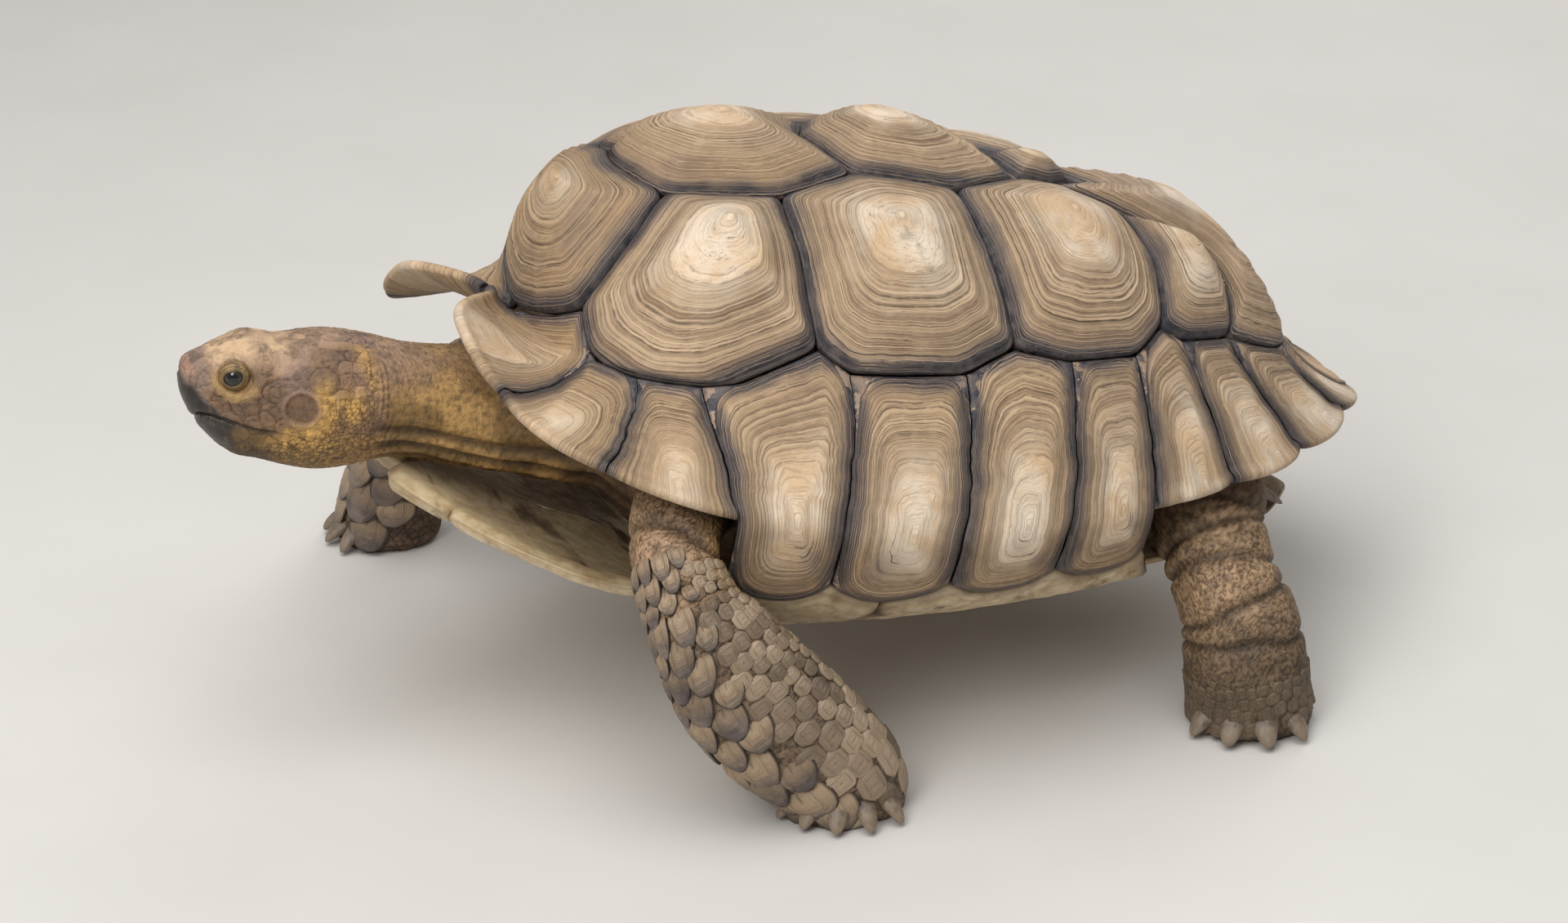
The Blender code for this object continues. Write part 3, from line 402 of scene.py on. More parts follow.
# number: (height of its hump, growth centre, seam corners in order)
COSTALS = {
    1: (0.012, (52.9, 0.52), ("v1v2c1", "v1c1m1", "c1m1m2", "c1m2m3", "c1m3m4", "c1c2m4", "c1c2v2")),
    2: (0.012, (82.5, 0.52), ("c1c2v2", "c1c2m4", "c2m4m5", "c2m5m6", "c2c3m6", "c2c3v3", "v2v3c2")),
    3: (0.013, (117.0, 0.46),
        ("c2c3v3", "c2c3m6", "c3m6m7", "c3m7m8", "c3c4m8", "c3c4v5", "v4v5c3", "v3v4c3")),
    4: (0.016, (143.0, 0.56), ("c3c4v5", "c3c4m8", "c4m8m9", "c4m9m10", "c4v5")),
}
VERTEBRALS = {
    1: (0.006, (0, 0.42), ("v12", "v1v2c1", "v1c1m1", "nuchal")),
    2: (0.015, (57.0, 0), ("v12", "v1v2c1", "c1c2v2", "v2v3c2", "v23")),
    3: (0.019, (94.5, 0), ("v23", "v2v3c2", "c2c3v3", "v3v4c3", "v34")),
    4: (0.011, (141.0, 0), ("v34", "v3v4c3", "v4v5c3", "v45")),
    5: (0.019, (180, 0.36), ("v45", "v4v5c3", "c3c4v5", "c4v5", "c4m9m10", "v5m10m11", "v5m11", "tail")),
}
# Seam corners along the top of each marginal, from front to rear.
MARGINAL_TOPS = {
    1: ("nuchal", "v1c1m1", "c1m1m2"), 2: ("c1m1m2", "c1m2m3"), 3: ("c1m2m3", "c1m3m4"),
    4: ("c1m3m4", "c1c2m4", "c2m4m5"), 5: ("c2m4m5", "c2m5m6"), 6: ("c2m5m6", "c2c3m6", "c3m6m7"),
    7: ("c3m6m7", "c3m7m8"), 8: ("c3m7m8", "c3c4m8", "c4m8m9"), 9: ("c4m8m9", "c4m9m10"),
    10: ("c4m9m10", "v5m10m11"), 11: ("v5m10m11", "v5m11"), 12: ("v5m11", "tail", "right v5m11"),
}
# Share of a marginal's top seam at which its middle corner lies.
MIDDLE_CORNERS = {1: 0.6, 4: 0.75, 6: 0.5, 8: 0.75, 12: 0.5}
BRIDGE_MARGINALS = (4, 5, 6, 7)
SUPRACAUDAL = 12  # number of the plate behind the last marginals
PLATE, RIM_PLATE, SEAM_GAP = 0.0085, 0.0060, 0.00022
MARGINAL_COLUMNS, MARGINAL_ROWS, TURNED_ROWS = 68, 72, 34
SEAM_SHARE = 0.006  # share of a marginal's width and height left open at its seams


def scallop(phi):
    """How far each marginal's free edge bows out past its ends."""
    deg = np.degrees(phi)
    t = np.interp(deg, RIM_SEAMS, np.arange(len(RIM_SEAMS))) % 1.0
    size = 0.0012 + 0.0065 * np.clip((deg - 112) / 22, 0, 1) + 0.0018 * np.clip((50 - deg) / 30, 0, 1)
    return size * (4 * t * (1 - t)) ** 0.7


def shell(phi, u, side):
    """dome() with the free edge scalloped."""
    t = np.clip(np.asarray(u, float) - 1, 0, 1) ** 2
    out = unit((rim_line(phi, side) - keel_line(phi, side)) * (1, 1, 0.35))
    return dome(phi, u, side) + out * (t * scallop(phi))[..., None]


def place_on_shell(p, end=None):
    """Points of the carapace from (phi in degrees, u).

    u is signed by side or, for a plate round an end of the spine at 0 or 180 degrees, phi runs on past
    that end."""
    deg, u = p[..., 0], p[..., 1]
    side = np.where(u > 0, 1.0, -1.0)
    if end is not None:
        off = deg - end
        side = np.where(off * (1 if end == 0 else -1) >= 0, -1.0, 1.0)
        deg = np.abs(end - np.abs(off))
    u = np.abs(u)
    wavy = np.stack([deg, 60 * u * side], -1)
    wander = 0.35 * noise(wavy, 9.0, 5) + 0.14 * noise(wavy, 3.0, 6)
    wander = wander * smooth(0, 6, deg) * smooth(180, 174, deg)
    return shell(np.radians(deg + wander), u, side)


def grid_normals(grid, wrap):
    """Normals of a grid of points, rows by columns; the columns may wrap round."""
    down = np.gradient(grid, axis=0)
    across = (np.roll(grid, -1, 1) - np.roll(grid, 1, 1)) if wrap else np.gradient(grid, axis=1)
    return unit(np.cross(down, across))


def ring_relief(reach, share, where, rings, areola, seed, depth):
    """Growth rings as (height, ring number, groove mask, each ring's own number).

    reach is the distance from the growth centre to the seam, and share how far along it each point lies."""
    wobble = 0.010 * noise(where, 0.020, seed) + 0.0035 * noise(where, 0.006, seed + 1)
    q = (share + wobble * smooth(0, 0.3, share) * smooth(1.0, 0.9, share) - areola) / (1 - areola)
    ring = rings * np.minimum(mix(q, q * np.abs(q), 0.22) + 0.022 * np.sin(9 * q + seed) * smooth(1, 0.8, q), 1)
    ring = np.where(ring < 0, 0.35 * ring, ring)
    line = np.round(ring)
    own = scatter(line[..., None], seed)
    deep = np.where(own > 0.84, 1.9, 0.25 + 0.75 * own) * smooth(-0.5, 3.0, ring)
    fade = 0.55 + 0.45 * noise(where + own[..., None] * 0.3, 0.030, seed + 2)
    groove = deep * np.clip(fade, 0.15, 1) * bump(ring - line, 0.17)
    spacing = reach * (1 - areola) / rings
    size = np.clip(0.26 * spacing, 0, 0.00090) * smooth(0.0006, 0.0022, spacing) * depth
    swell = 0.45 * np.sin(ring * 2 * math.pi * 0.37 + seed) * smooth(0.5, 3, ring)
    height = size * (swell + 0.35 * smooth(-1, 2, ring) - groove)
    return height, ring, np.clip(groove, 0, 1), own


def growth_masks(share, seam, where, areola, groove, own, seed, slate_width):
    """Colour masks as (areola, slate, groove, tone)."""
    rough = noise(where, 0.012, seed + 3)
    wander = 0.08 * rough + 0.08 * noise(where, 0.035, seed + 5)
    heart = smooth(areola + 0.34, areola - 0.22, share + wander)
    band = slate_width * (0.75 + 0.7 * noise(where, 0.030, seed + 4))
    slate = smooth(band + 0.0100, band - 0.0030, seam + 0.0015 * rough)
    # A dark line right along each seam, where the plates' edges sink in.
    seam_line = 0.9 * smooth(0.0011, 0.0, seam)
    return np.stack([heart, slate, np.clip(np.maximum(groove, seam_line), 0, 1), own], -1)


def tube_faces(rows, columns):
    """Quads of a grid of points whose columns wrap round."""
    index = np.arange(rows * columns).reshape(rows, columns)
    right = np.roll(index, -1, 1)
    quads = np.stack([index[:-1], right[:-1], right[1:], index[1:]], -1).reshape(-1, 4)
    return [tuple(q) for q in quads.tolist()]


def capped_faces(rows, columns):
    """Faces of a tube whose first and last rows close on a point each, which come after its grid."""
    top, bottom = rows * columns, rows * columns + 1
    ring = list(range(columns))
    pairs = list(zip(ring, ring[1:] + ring[:1]))
    last = (rows - 1) * columns
    caps = [(top, b, a) for a, b in pairs] + [(bottom, last + a, last + b) for a, b in pairs]
    return tube_faces(rows, columns) + caps


def strip_faces(rows, columns):
    """Faces of a grid whose rows wrap round, with one face over each open end."""
    index = np.arange(rows * columns).reshape(rows, columns)
    below = np.roll(index, -1, 0)
    quads = np.stack([index[:, :-1], index[:, 1:], below[:, 1:], below[:, :-1]], -1).reshape(-1, 4)
    ends = [tuple(index[::-1, 0].tolist()), tuple(index[:, -1].tolist())]
    return [tuple(q) for q in quads.tolist()] + ends


def facing_out(verts, faces):
    """The faces turned so that the closed mesh encloses a positive volume."""
    quads = np.array([f[:3] for f in faces if len(f) == 4])
    a, b, c = (verts[quads[:, k]] for k in range(3))
    volume = np.einsum("ij,ij->i", a, np.cross(b, c)).sum()
    return faces if volume > 0 else [tuple(reversed(f)) for f in faces]


def joined(parts):
    """One (verts, faces, *attributes) of many."""
    verts, faces, first = [], [], 0
    for part in parts:
        faces += [tuple(i + first for i in f) for f in part[1]]
        verts.append(part[0])
        first += len(part[0])
    return (np.concatenate(verts), faces, *(np.concatenate(k) for k in list(zip(*parts))[2:]))


def capped(grid):
    """A closed (verts, faces) over a grid of points whose columns wrap round."""
    verts = np.concatenate([grid.reshape(-1, 3), grid[:1].mean(1), grid[-1:].mean(1)])
    return verts, facing_out(verts, capped_faces(*grid.shape[:2]))


# Mesh of a scute: steps along a side's draft, length of a step round it, fewest and most of them, and rows.
STEPS_SIDE, STEP_AROUND, COUNTS_AROUND, ROWS_HEART, ROWS_RINGS = 60, 0.0025, (90, 240), 8, 84
INNER_SHARES = (1.0, 0.985, 0.95, 0.88, 0.5, 0.05)  # how far out the rows of its inner face lie


def scute_loop(corners, place, free_sides):
    """A scute's outline at even steps, as (eased corners, a rounder copy for its inner rings, how free it is).

    The last is 1 on a free edge of the shell and 0 along a seam."""
    fine, free = [], []
    for k, (a, b) in enumerate(zip(corners, list(corners[1:]) + [corners[0]])):
        steps = np.linspace(0, 1, STEPS_SIDE, endpoint=False)
        fine += [mix(np.array(a, float), np.array(b, float), t) for t in steps]
        free += [float(k in free_sides)] * STEPS_SIDE
    fine = np.array(fine + [fine[0]])
    length = np.concatenate([[0], np.cumsum(np.linalg.norm(np.diff(place(fine), axis=0), axis=-1))])
    count = int(np.clip(length[-1] / STEP_AROUND, *COUNTS_AROUND))
    even = np.linspace(0, length[-1], count, endpoint=False)
    loop = np.stack([np.interp(even, length, fine[:, k]) for k in range(2)], -1)
    free = np.interp(even, length, free + [free[0]])
    return periodic_smooth(loop, 5), periodic_smooth(loop, count), periodic_smooth(free, 6)


def add_scute(name, verts, faces, look, masks, ring, seed):
    floats = {"ring": ring + 7.3 * seed, "warm": np.full(len(ring), look["warm"])}
    add_mesh(name, verts, faces, look["material"], (name,), {"growth": masks}, floats)


def star_scute(name, corners, middle, place, hump, thick, seed, look, free_sides=()):
    """A scute spread from its growth centre to its seams, as one closed plate."""
    look = {**PLAIN_SCUTE, **look}
    areola, rows = look["areola"], look["rows"]
    loop, round_loop, free = scute_loop(corners, place, free_sides)
    middle = np.array(middle, float)
    heart = np.linspace(0.03, areola, ROWS_HEART, endpoint=False)
    share = np.concatenate([heart, np.linspace(areola, 1.0, rows)])
    reach = np.linalg.norm(place(loop) - place(middle[None]), axis=-1)

    def spread(shares):
        s = np.array(shares)[:, None, None]
        pull = 1 - 1.6 * SEAM_GAP / reach[None, :, None]
        base = place(middle + s * pull * (mix(round_loop, loop, smooth(0.15, 0.95, s)) - middle))
        normal = grid_normals(base, True)
        outward = base - (0, 0, 0.1)
        return base, normal * np.sign((normal * outward).sum()), (1 - s[..., 0]) * reach

    base, normal, seam = spread(share)
    s = share[:, None] + 0 * seam
    relief, ring, groove, own = ring_relief(reach, s, base, look["rings"], areola, seed, look["depth"])
    pits = smooth(0.45, 0.75, noise(base, 0.004, seed + 7)) * smooth(0.1, 0.5, noise(base, 0.022, seed + 8))
    pits = look["pits"] * pits * smooth(areola + 0.12, areola - 0.02, s)
    edge = (0.0011 * np.exp(-seam / 0.0010) + 0.0006 * np.exp(-seam / 0.006)) * (1 - free)
    height = hump * (1 - s ** look["dome"]) + relief - edge - 0.0005 * pits
    height = height + 0.0004 * noise(base, 0.013, seed + 9)
    rounding = free * smooth(0.007, 0.0, seam) ** 2 * 0.42 * thick(base)
    outer = base + normal * (height - rounding)[..., None]
    under, under_normal, under_seam = spread(INNER_SHARES)
    depth = thick(under) * (1 - 0.42 * free * smooth(0.007, 0.0, under_seam) ** 2)
    inner = under - under_normal * depth[..., None]
    centres = np.stack([outer[0].mean(0), inner[-1].mean(0)])
    verts = to_frame(np.concatenate([outer.reshape(-1, 3), inner.reshape(-1, 3), centres]))
    faces = facing_out(verts, capped_faces(len(share) + len(INNER_SHARES), len(loop)))
    masks = growth_masks(s, seam + 0.02 * free, base, areola, groove, own, seed, look["slate"])
    masks[..., 2] = np.maximum(masks[..., 2], 0.85 * pits)
    inner_masks = np.tile(masks[-1] * (0, 0.2, 0.3, 1), (len(INNER_SHARES), 1))
    masks = np.concatenate([masks.reshape(-1, 4), inner_masks, masks[0, :1], inner_masks[:1]])
    ring = np.concatenate([ring.reshape(-1), np.tile(ring[-1], len(INNER_SHARES)), ring[0, :1], ring[-1, :1]])
    add_scute(name, verts, faces, look, masks, ring, seed)


def marginal_grid(number, side):
    """Rows of points from a marginal's upper seam to its rim and, at the bridge, on round under the shell.

    Each row's points lie at the same shares of the way across it, which come second."""
    corners = np.array([SEAMS[n] for n in MARGINAL_TOPS[number]], float)
    ends = RIM_SEAMS[number - 1 : number + 1]
    cols, rows = MARGINAL_COLUMNS, MARGINAL_ROWS
    t = mix(SEAM_SHARE, 1 - SEAM_SHARE, np.linspace(0, 1, cols))
    at = [0, MIDDLE_CORNERS[number], 1] if len(corners) == 3 else [0, 1]
    upper = np.stack([np.interp(t, at, corners[:, 0]), np.interp(t, at, corners[:, 1])], -1)
    lower = np.stack([mix(ends[0], ends[1], t), np.full(cols, 2.0)], -1)
    turned = number in BRIDGE_MARGINALS
    v = np.linspace(SEAM_SHARE, 1.0 if turned else 0.955, rows)
    p = mix(upper, lower, v[:, None, None])
    base = place_on_shell(p, 180) if number == SUPRACAUDAL else place_on_shell(p * (1, side))
    if turned:
        x, y = bridge_seam(lower[:, 0], side)
        w = np.linspace(0, 0.99, TURNED_ROWS)[1:, None]
        base = np.concatenate([base, belly(mix(base[-1, :, 0], x, w), mix(base[-1, :, 1], y, w))])
        near = smooth(14, 4, np.abs(np.arange(len(base)) - rows))[:, None, None]
        for _ in range(40):
            base[1:-1] += near[1:-1] * 0.5 * ((base[2:] + base[:-2]) / 2 - base[1:-1])
    return base, t


def marginal_growth(base, t, turned, look):
    """(share, reach, distance to the seam, distance to the lower edge) of a marginal, as for ring_relief()."""
    across = np.linalg.norm(base[:, -1] - base[:, 0], axis=-1)[:, None]
    step = np.linalg.norm(np.diff(base, axis=0), axis=-1)
    down = np.concatenate([np.zeros((1, len(t))), np.cumsum(step, axis=0)])
    t0, v0 = look["heart"]
    below, centre = down[-1] - down, down[MARGINAL_ROWS - 1] * v0
    drop = down / centre
    drop = np.where(drop < 1, 1 - drop, (drop - 1) / np.maximum(down[-1] / centre - 1, 1e-6))
    if not turned:
        drop = np.where(down < centre, drop, 0)
    sideways = np.where(t < t0, (t0 - t) / (t0 - SEAM_SHARE), (t - t0) / (1 - SEAM_SHARE - t0)) + 0 * down
    share = np.clip((sideways ** 5 + drop ** 5) ** (1 / 5), 0, 1)
    reach = np.where(sideways > drop, across * np.where(t < t0, t0, 1 - t0), centre)
    seam = np.minimum(np.minimum((t - SEAM_SHARE) * across, (1 - SEAM_SHARE - t) * across), down)
    if turned:
        seam = np.minimum(seam, below)
    return share, reach, seam, below


def marginal_scute(name, number, side, seed, look):
    """A marginal as one closed plate with a rounded free edge."""
    look = {**PLAIN_SCUTE, **look}
    turned, rows = number in BRIDGE_MARGINALS, MARGINAL_ROWS
    base, t = marginal_grid(number, side)
    share, reach, seam, below = marginal_growth(base, t, turned, look)
    normal = grid_normals(base, False)
    normal *= np.sign((normal * (base - (0, 0, 0.1))).sum())
    areola = look["areola"]
    relief, ring, groove, own = ring_relief(reach, share, base, look["rings"], areola, seed, look["depth"])
    edge = 0.0011 * np.exp(-seam / 0.0010) + 0.0005 * np.exp(-seam / 0.006)
    height = relief - edge + 0.0005 * noise(base, 0.016, seed + 9) - 0.0006
    calm = 1 if turned else smooth(0, 0.006, below)
    outer = base + normal * (height * calm)[..., None]
    thick = np.interp(np.arange(len(base)), [0, rows * 0.66, len(base)], [PLATE, RIM_PLATE, RIM_PLATE])
    picks = np.linspace(len(base) - 1, 0, 9).astype(int)
    inner = (base - normal * thick[:, None, None])[picks]
    section = [outer]
    count = len(outer)
    if not turned:  # the free rim turns over in a half round
        out = unit(base[-1] - base[-4])
        middle, half = (outer[-1] + inner[0]) / 2, (outer[-1] - inner[0]) / 2
        bulge = np.linalg.norm(half, axis=-1, keepdims=True) * 0.9
        turn = np.radians(np.linspace(15, 165, 11))[:, None, None]
        section.append(middle + half * np.cos(turn) + out * bulge * np.sin(turn))
    section = np.concatenate(section + [inner])
    spare = len(section) - count
    masks = growth_masks(share, seam, base, areola, groove, own, seed, look["slate"])
    if turned:
        low = smooth(-16, 12, np.arange(len(base)) - rows)[:, None]
        masks[..., 1] = np.maximum(masks[..., 1], 0.42 * low * smooth(-0.1, 0.8, noise(base, 0.018, 5)))
    t0 = look["heart"][0]
    front = smooth(0.0, 0.35, (t0 - t) / max(t0, 0.1)) * smooth(look["slate"] * 2.6, look["slate"] * 0.8, seam)
    masks[..., 1] = np.maximum(masks[..., 1], 0.65 * front * smooth(-0.3, 0.4, noise(base, 0.01, seed)))
    masks = np.concatenate([masks, np.tile(masks[-1:] * (1, 1, 0.3, 1), (spare, 1, 1))]).reshape(-1, 4)
    ring = np.concatenate([ring, np.tile(ring[-1:], (spare, 1))]).reshape(-1)
    verts = to_frame(section.reshape(-1, 3))
    faces = facing_out(verts, strip_faces(len(section), len(t)))
    add_scute(name, verts, faces, look, masks, ring, seed)


# ---------------------------------------------------------------- shape of the underside

HUMERAL_EDGE, AXILLA, GROIN = (-0.170, -0.109), (-0.152, -0.108), (0.108, -0.108)
# name: (seam corners on the left side as plan points or stretches of the bridge, which sides are free edges)
PLASTRALS = {
    "humeral": (((-0.268, -0.057), (-0.243, -0.076), (-0.211, -0.102), HUMERAL_EDGE, (-0.140, 0.0),
                 (-0.205, 0.0)), (0, 1, 2)),
    "pectoral": ((HUMERAL_EDGE, AXILLA, "front bridge", (-0.105, 0.0), (-0.140, 0.0)), (0,)),
    "abdominal": (((-0.105, 0.0), "rear bridge", GROIN, (0.096, -0.096), (0.060, 0.0)), ()),
    "femoral": (((0.060, 0.0), (0.096, -0.096), (0.122, -0.094), (0.150, -0.088), (0.176, -0.078),
                 (0.150, 0.0)), (1, 2, 3)),
    "anal": (((0.150, 0.0), (0.176, -0.078), (0.202, -0.066), (0.220, -0.044), (0.218, -0.024),
              (0.196, 0.0)), (1, 2, 3, 4)),
}
GULAR = ((-0.205, 0.0), (-0.268, -0.057), (-0.282, -0.047), (-0.2925, -0.033), (-0.2915, -0.018), (-0.274, 0.0))
BRIDGE_SPLIT = 6  # column of the bridge where the seam between pectoral and abdominal reaches it
BRIDGE_COLUMNS = 4  # columns to a marginal along the bridge's seam


def rim_at(x):
    """The free rim's half width and height over a plan length."""
    phi = np.arccos(np.clip(-x / np.where(x < 0, RIM["front"], RIM["rear"]), -1, 1))
    p = shell(phi, 2.0, 1.0)
    return np.maximum(p[..., 1], 0.06), p[..., 2]


def belly(x, y):
    """The underside's outer face over a plan point."""
    half, top = rim_at(x)
    low = 0.004 + 0.064 * np.clip((-0.150 - x) / 0.143, 0, 2) ** 1.35
    low = low + 0.016 * np.clip((x - 0.13) / 0.09, 0, 2) ** 1.5
    lobe = np.clip((-0.14 - x) / 0.03, 0, 1) * 0.012 * np.clip(np.abs(y) / 0.100, 0, 1.1) ** 2
    edge = np.clip(1 - np.clip((-0.15 - x) / 0.04, 0, 1), 0, 1)
    z = low + lobe + edge * (top - low) * np.clip(np.abs(y) / half, 0, 1) ** 6
    return np.stack(np.broadcast_arrays(x, y, z), -1)


def belly_thick(p):
    """The front lobe is a thick shelf that thins to its edge."""
    shelf = np.clip((-0.150 - p[..., 0]) / 0.03, 0, 1)
    return 0.008 + shelf * 0.007 * np.clip(1 - np.abs(p[..., 1]) / 0.075, 0, 1)


def bridge_seam(deg, side=-1):
    """The scalloped seam where the bridge's marginals turn under and meet the plastron."""
    deg = np.asarray(deg, float)
    p = shell(np.radians(deg), 2.0, side)
    part = np.interp(deg, RIM_SEAMS, np.arange(len(RIM_SEAMS))) % 1.0
    return p[..., 0], p[..., 1] * (0.915 - 0.050 * (4 * part * (1 - part)) ** 0.8)


# ---------------------------------------------------------------- the scutes

# How a scute looks: number of rings, share of it that is areola, depth of the relief, width of the slate band, how
# golden, rows of its mesh, material, slot, where a marginal's growth centre lies across and down it, roundness, pits.
HORN = shell_material()
PLAIN_SCUTE = dict(rings=15, areola=0.36, depth=1.0, slate=0.0040, warm=0.0, rows=ROWS_RINGS, material=HORN,
                   slot="shell", heart=(0.5, 0.9), dome=1.5, pits=0.0)
COSTAL_LOOKS = {
    1: dict(rings=17, areola=0.40, slate=0.0055, pits=1.0),
    2: dict(rings=16, areola=0.40, slate=0.0058, pits=0.8),
    3: dict(rings=15, areola=0.42, slate=0.0045),
    4: dict(rings=10, areola=0.48, slate=0.0035, warm=0.15),
}
VERTEBRAL_LOOKS = {
    1: dict(rings=17, areola=0.26, warm=0.85, depth=1.2),
    2: dict(rings=18, areola=0.30, warm=0.50),
    3: dict(rings=16, areola=0.30, warm=0.35),
    4: dict(rings=8, areola=0.40, warm=0.2, dome=2.4),
    5: dict(rings=14, areola=0.30, depth=1.2),
}


def marginal_look(number):
    last_of_hearts = ((2, (0.35, 0.92)), (7, (0.58, 0.94)), (11, (0.60, 1.0)), (SUPRACAUDAL, (0.5, 1.0)))
    heart = next(place for last, place in last_of_hearts if number <= last)
    return dict(rings=11, areola=0.40 if number < 8 else 0.52, heart=heart, slot="shell_rim", depth=0.9,
                slate=0.0030 if number in BRIDGE_MARGINALS else 0.0020, warm=0.85 if number < 4 else 0.30)


def make_carapace():
    def even(p):
        return np.full(p.shape[:-1], PLATE)

    for side, word in ((-1, "left"), (1, "right")):
        for k, (hump, middle, names) in COSTALS.items():
            corners = [(a, u * side) for a, u in (SEAMS[n] for n in names)]
            star_scute(f"costal_{word}_{k}", corners, (middle[0], middle[1] * side), place_on_shell, hump, even,
                       10 + k + 5 * (side > 0), COSTAL_LOOKS[k])
        for k in range(1, SUPRACAUDAL):
            marginal_scute(f"marginal_{word}_{k}", k, side, 30 + k + 12 * (side > 0), marginal_look(k))
    marginal_scute("supracaudal", SUPRACAUDAL, 1, 60, marginal_look(SUPRACAUDAL))
    for k, (hump, middle, names) in VERTEBRALS.items():
        half = [SEAMS[n] for n in names]
        end = {1: 0, 5: 180}.get(k)
        if end is None:
            corners = [(a, -u) for a, u in half] + [(a, u) for a, u in reversed(half[1:-1])]
        else:
            corners = half + [(2 * end - a, u) for a, u in reversed(half[1:-1])]

        def place(p, end=end):
            return place_on_shell(p, end)

        star_scute(f"vertebral_{k}", corners, middle, place, hump, even, 20 + k, VERTEBRAL_LOOKS[k])


def make_plastron(material):
    look = dict(rings=13, areola=0.16, depth=0.45, slate=0.0015, rows=38, material=material, slot="underside")
    columns = [np.linspace(RIM_SEAMS[k - 1], RIM_SEAMS[k], BRIDGE_COLUMNS + 1)[:-1] for k in BRIDGE_MARGINALS]
    columns = np.append(np.concatenate(columns), RIM_SEAMS[BRIDGE_MARGINALS[-1]])

    def place(p):
        return belly(p[..., 0], p[..., 1])

    for row, (name, (marks, free)) in enumerate(PLASTRALS.items()):
        corners = []
        for mark in marks:
            if isinstance(mark, str):
                span = columns[: BRIDGE_SPLIT + 1] if mark == "front bridge" else columns[BRIDGE_SPLIT:]
                corners += list(zip(*bridge_seam(span)))
            else:
                corners.append(mark)
        middle = np.array(corners).mean(0)
        for side, word in ((1, "left"), (-1, "right")):
            star_scute(f"{name}_{word}", [(x, y * side) for x, y in corners], middle * (1, side), place, 0.0,
                       belly_thick, 70 + 2 * row + (side < 0), look, free)
    corners = list(GULAR) + [(x, -y) for x, y in reversed(GULAR[1:-1])]
    star_scute("gular", corners, (-0.245, 0.0), place, 0.0, belly_thick, 90, look, range(1, 9))


# ---------------------------------------------------------------- shape of the flesh


def spline(rows, count):
    """A smooth run of this many rows through the given ones, and their places along them."""
    rows = np.asarray(rows, float)
    ends = np.concatenate([2 * rows[:1] - rows[1:2], rows, 2 * rows[-1:] - rows[-2:-1]])
    t = np.linspace(0, len(rows) - 1, count)
    i = np.minimum(t.astype(int), len(rows) - 2)
    f = (t - i)[:, None]
    a, b, c, d = ends[i], ends[i + 1], ends[i + 2], ends[i + 3]
    bend, twist = 2 * a - 5 * b + 4 * c - d, 3 * b - a - 3 * c + d
    return 0.5 * (2 * b + (c - a) * f + bend * f ** 2 + twist * f ** 3)


def oval(angle, power):
    """Cosine and sine of an angle for an oval that is the boxier the higher the power; 2 is an ellipse."""
    c, s = np.cos(angle), np.sin(angle)
    return np.sign(c) * np.abs(c) ** (2 / power), np.sign(s) * np.abs(s) ** (2 / power)


POINTS_AT_ONCE = 20000  # keeps the search for a limb's nearest row small in memory


class Limb:
    """A tube of flesh: rows of (centre, half width, half depth) with the directions of its width and depth."""

    def __init__(self, stations, count=120, power=2.2, across=None):
        table = spline([(*o, a, b) for o, a, b in stations], count)
        self.centre, self.size, self.power = table[:, :3] + CENTRE, table[:, 3:], power
        self.along = along = unit(np.gradient(self.centre, axis=0))
        if across is None:  # a leg's width lies along the body
            self.wide = unit(np.array([1.0, 0, 0]) - along * along[:, :1])
        else:
            self.wide = np.tile(unit(np.array(across, float)), (count, 1))
        self.deep = unit(np.cross(along, self.wide))
        self.length = np.concatenate([[0], np.cumsum(np.linalg.norm(np.diff(self.centre, axis=0), axis=-1))])

    def at(self, where, angle, out=0.0):
        """Points of the surface, where metres down the limb and at this angle round it, this far out of it."""
        def pick(rows):
            return np.stack([np.interp(where, self.length, rows[:, k]) for k in range(rows.shape[1])], -1)

        c, s = oval(angle, self.power)
        size = pick(self.size) + np.asarray(out)[..., None]
        wide = (c * size[..., 0])[..., None] * pick(self.wide)
        deep = (s * size[..., 1])[..., None] * pick(self.deep)
        return pick(self.centre) + wide + deep

    def girth(self, where):
        """Mean of the half width and half depth, where metres down the limb."""
        return np.interp(where, self.length, self.size.mean(1))

    def find(self, p):
        """(metres down the limb, angle round it, distance from its middle as a share of its size) of points."""
        near = np.empty(len(p), int)
        for first in range(0, len(p), POINTS_AT_ONCE):
            some = slice(first, first + POINTS_AT_ONCE)
            near[some] = ((p[some, None] - self.centre[None, ::2]) ** 2).sum(-1).argmin(1) * 2
        away = p - self.centre[near]
        step = (away * self.along[near]).sum(-1)
        x = (away * self.wide[near]).sum(-1) / self.size[near, 0]
        y = (away * self.deep[near]).sum(-1) / self.size[near, 1]
        return self.length[near] + np.clip(step, -0.01, 0.01), np.arctan2(y, x), np.hypot(x, y)

    def mesh(self, around=40):
        angle = np.linspace(0, 2 * math.pi, around, endpoint=False)
        where, angle = np.meshgrid(self.length, angle, indexing="ij")
        verts = np.concatenate([self.at(where, angle).reshape(-1, 3), self.centre[:1], self.centre[-1:]])
        return verts, facing_out(verts, capped_faces(len(self.length), around))


# Head, in its own frame: forward, left, up.
HEAD_AT = np.array([-0.2902, -0.0030, 0.1951]) + CENTRE
HEAD_YAW, HEAD_PITCH = math.radians(5.1), math.radians(1.4)
LEVEL = math.cos(HEAD_PITCH)
FORWARD = np.array([-math.cos(HEAD_YAW) * LEVEL, math.sin(HEAD_YAW) * LEVEL, math.sin(HEAD_PITCH)])
LEFT = np.array([-math.sin(HEAD_YAW), -math.cos(HEAD_YAW), 0.0])
UP = np.cross(FORWARD, LEFT)
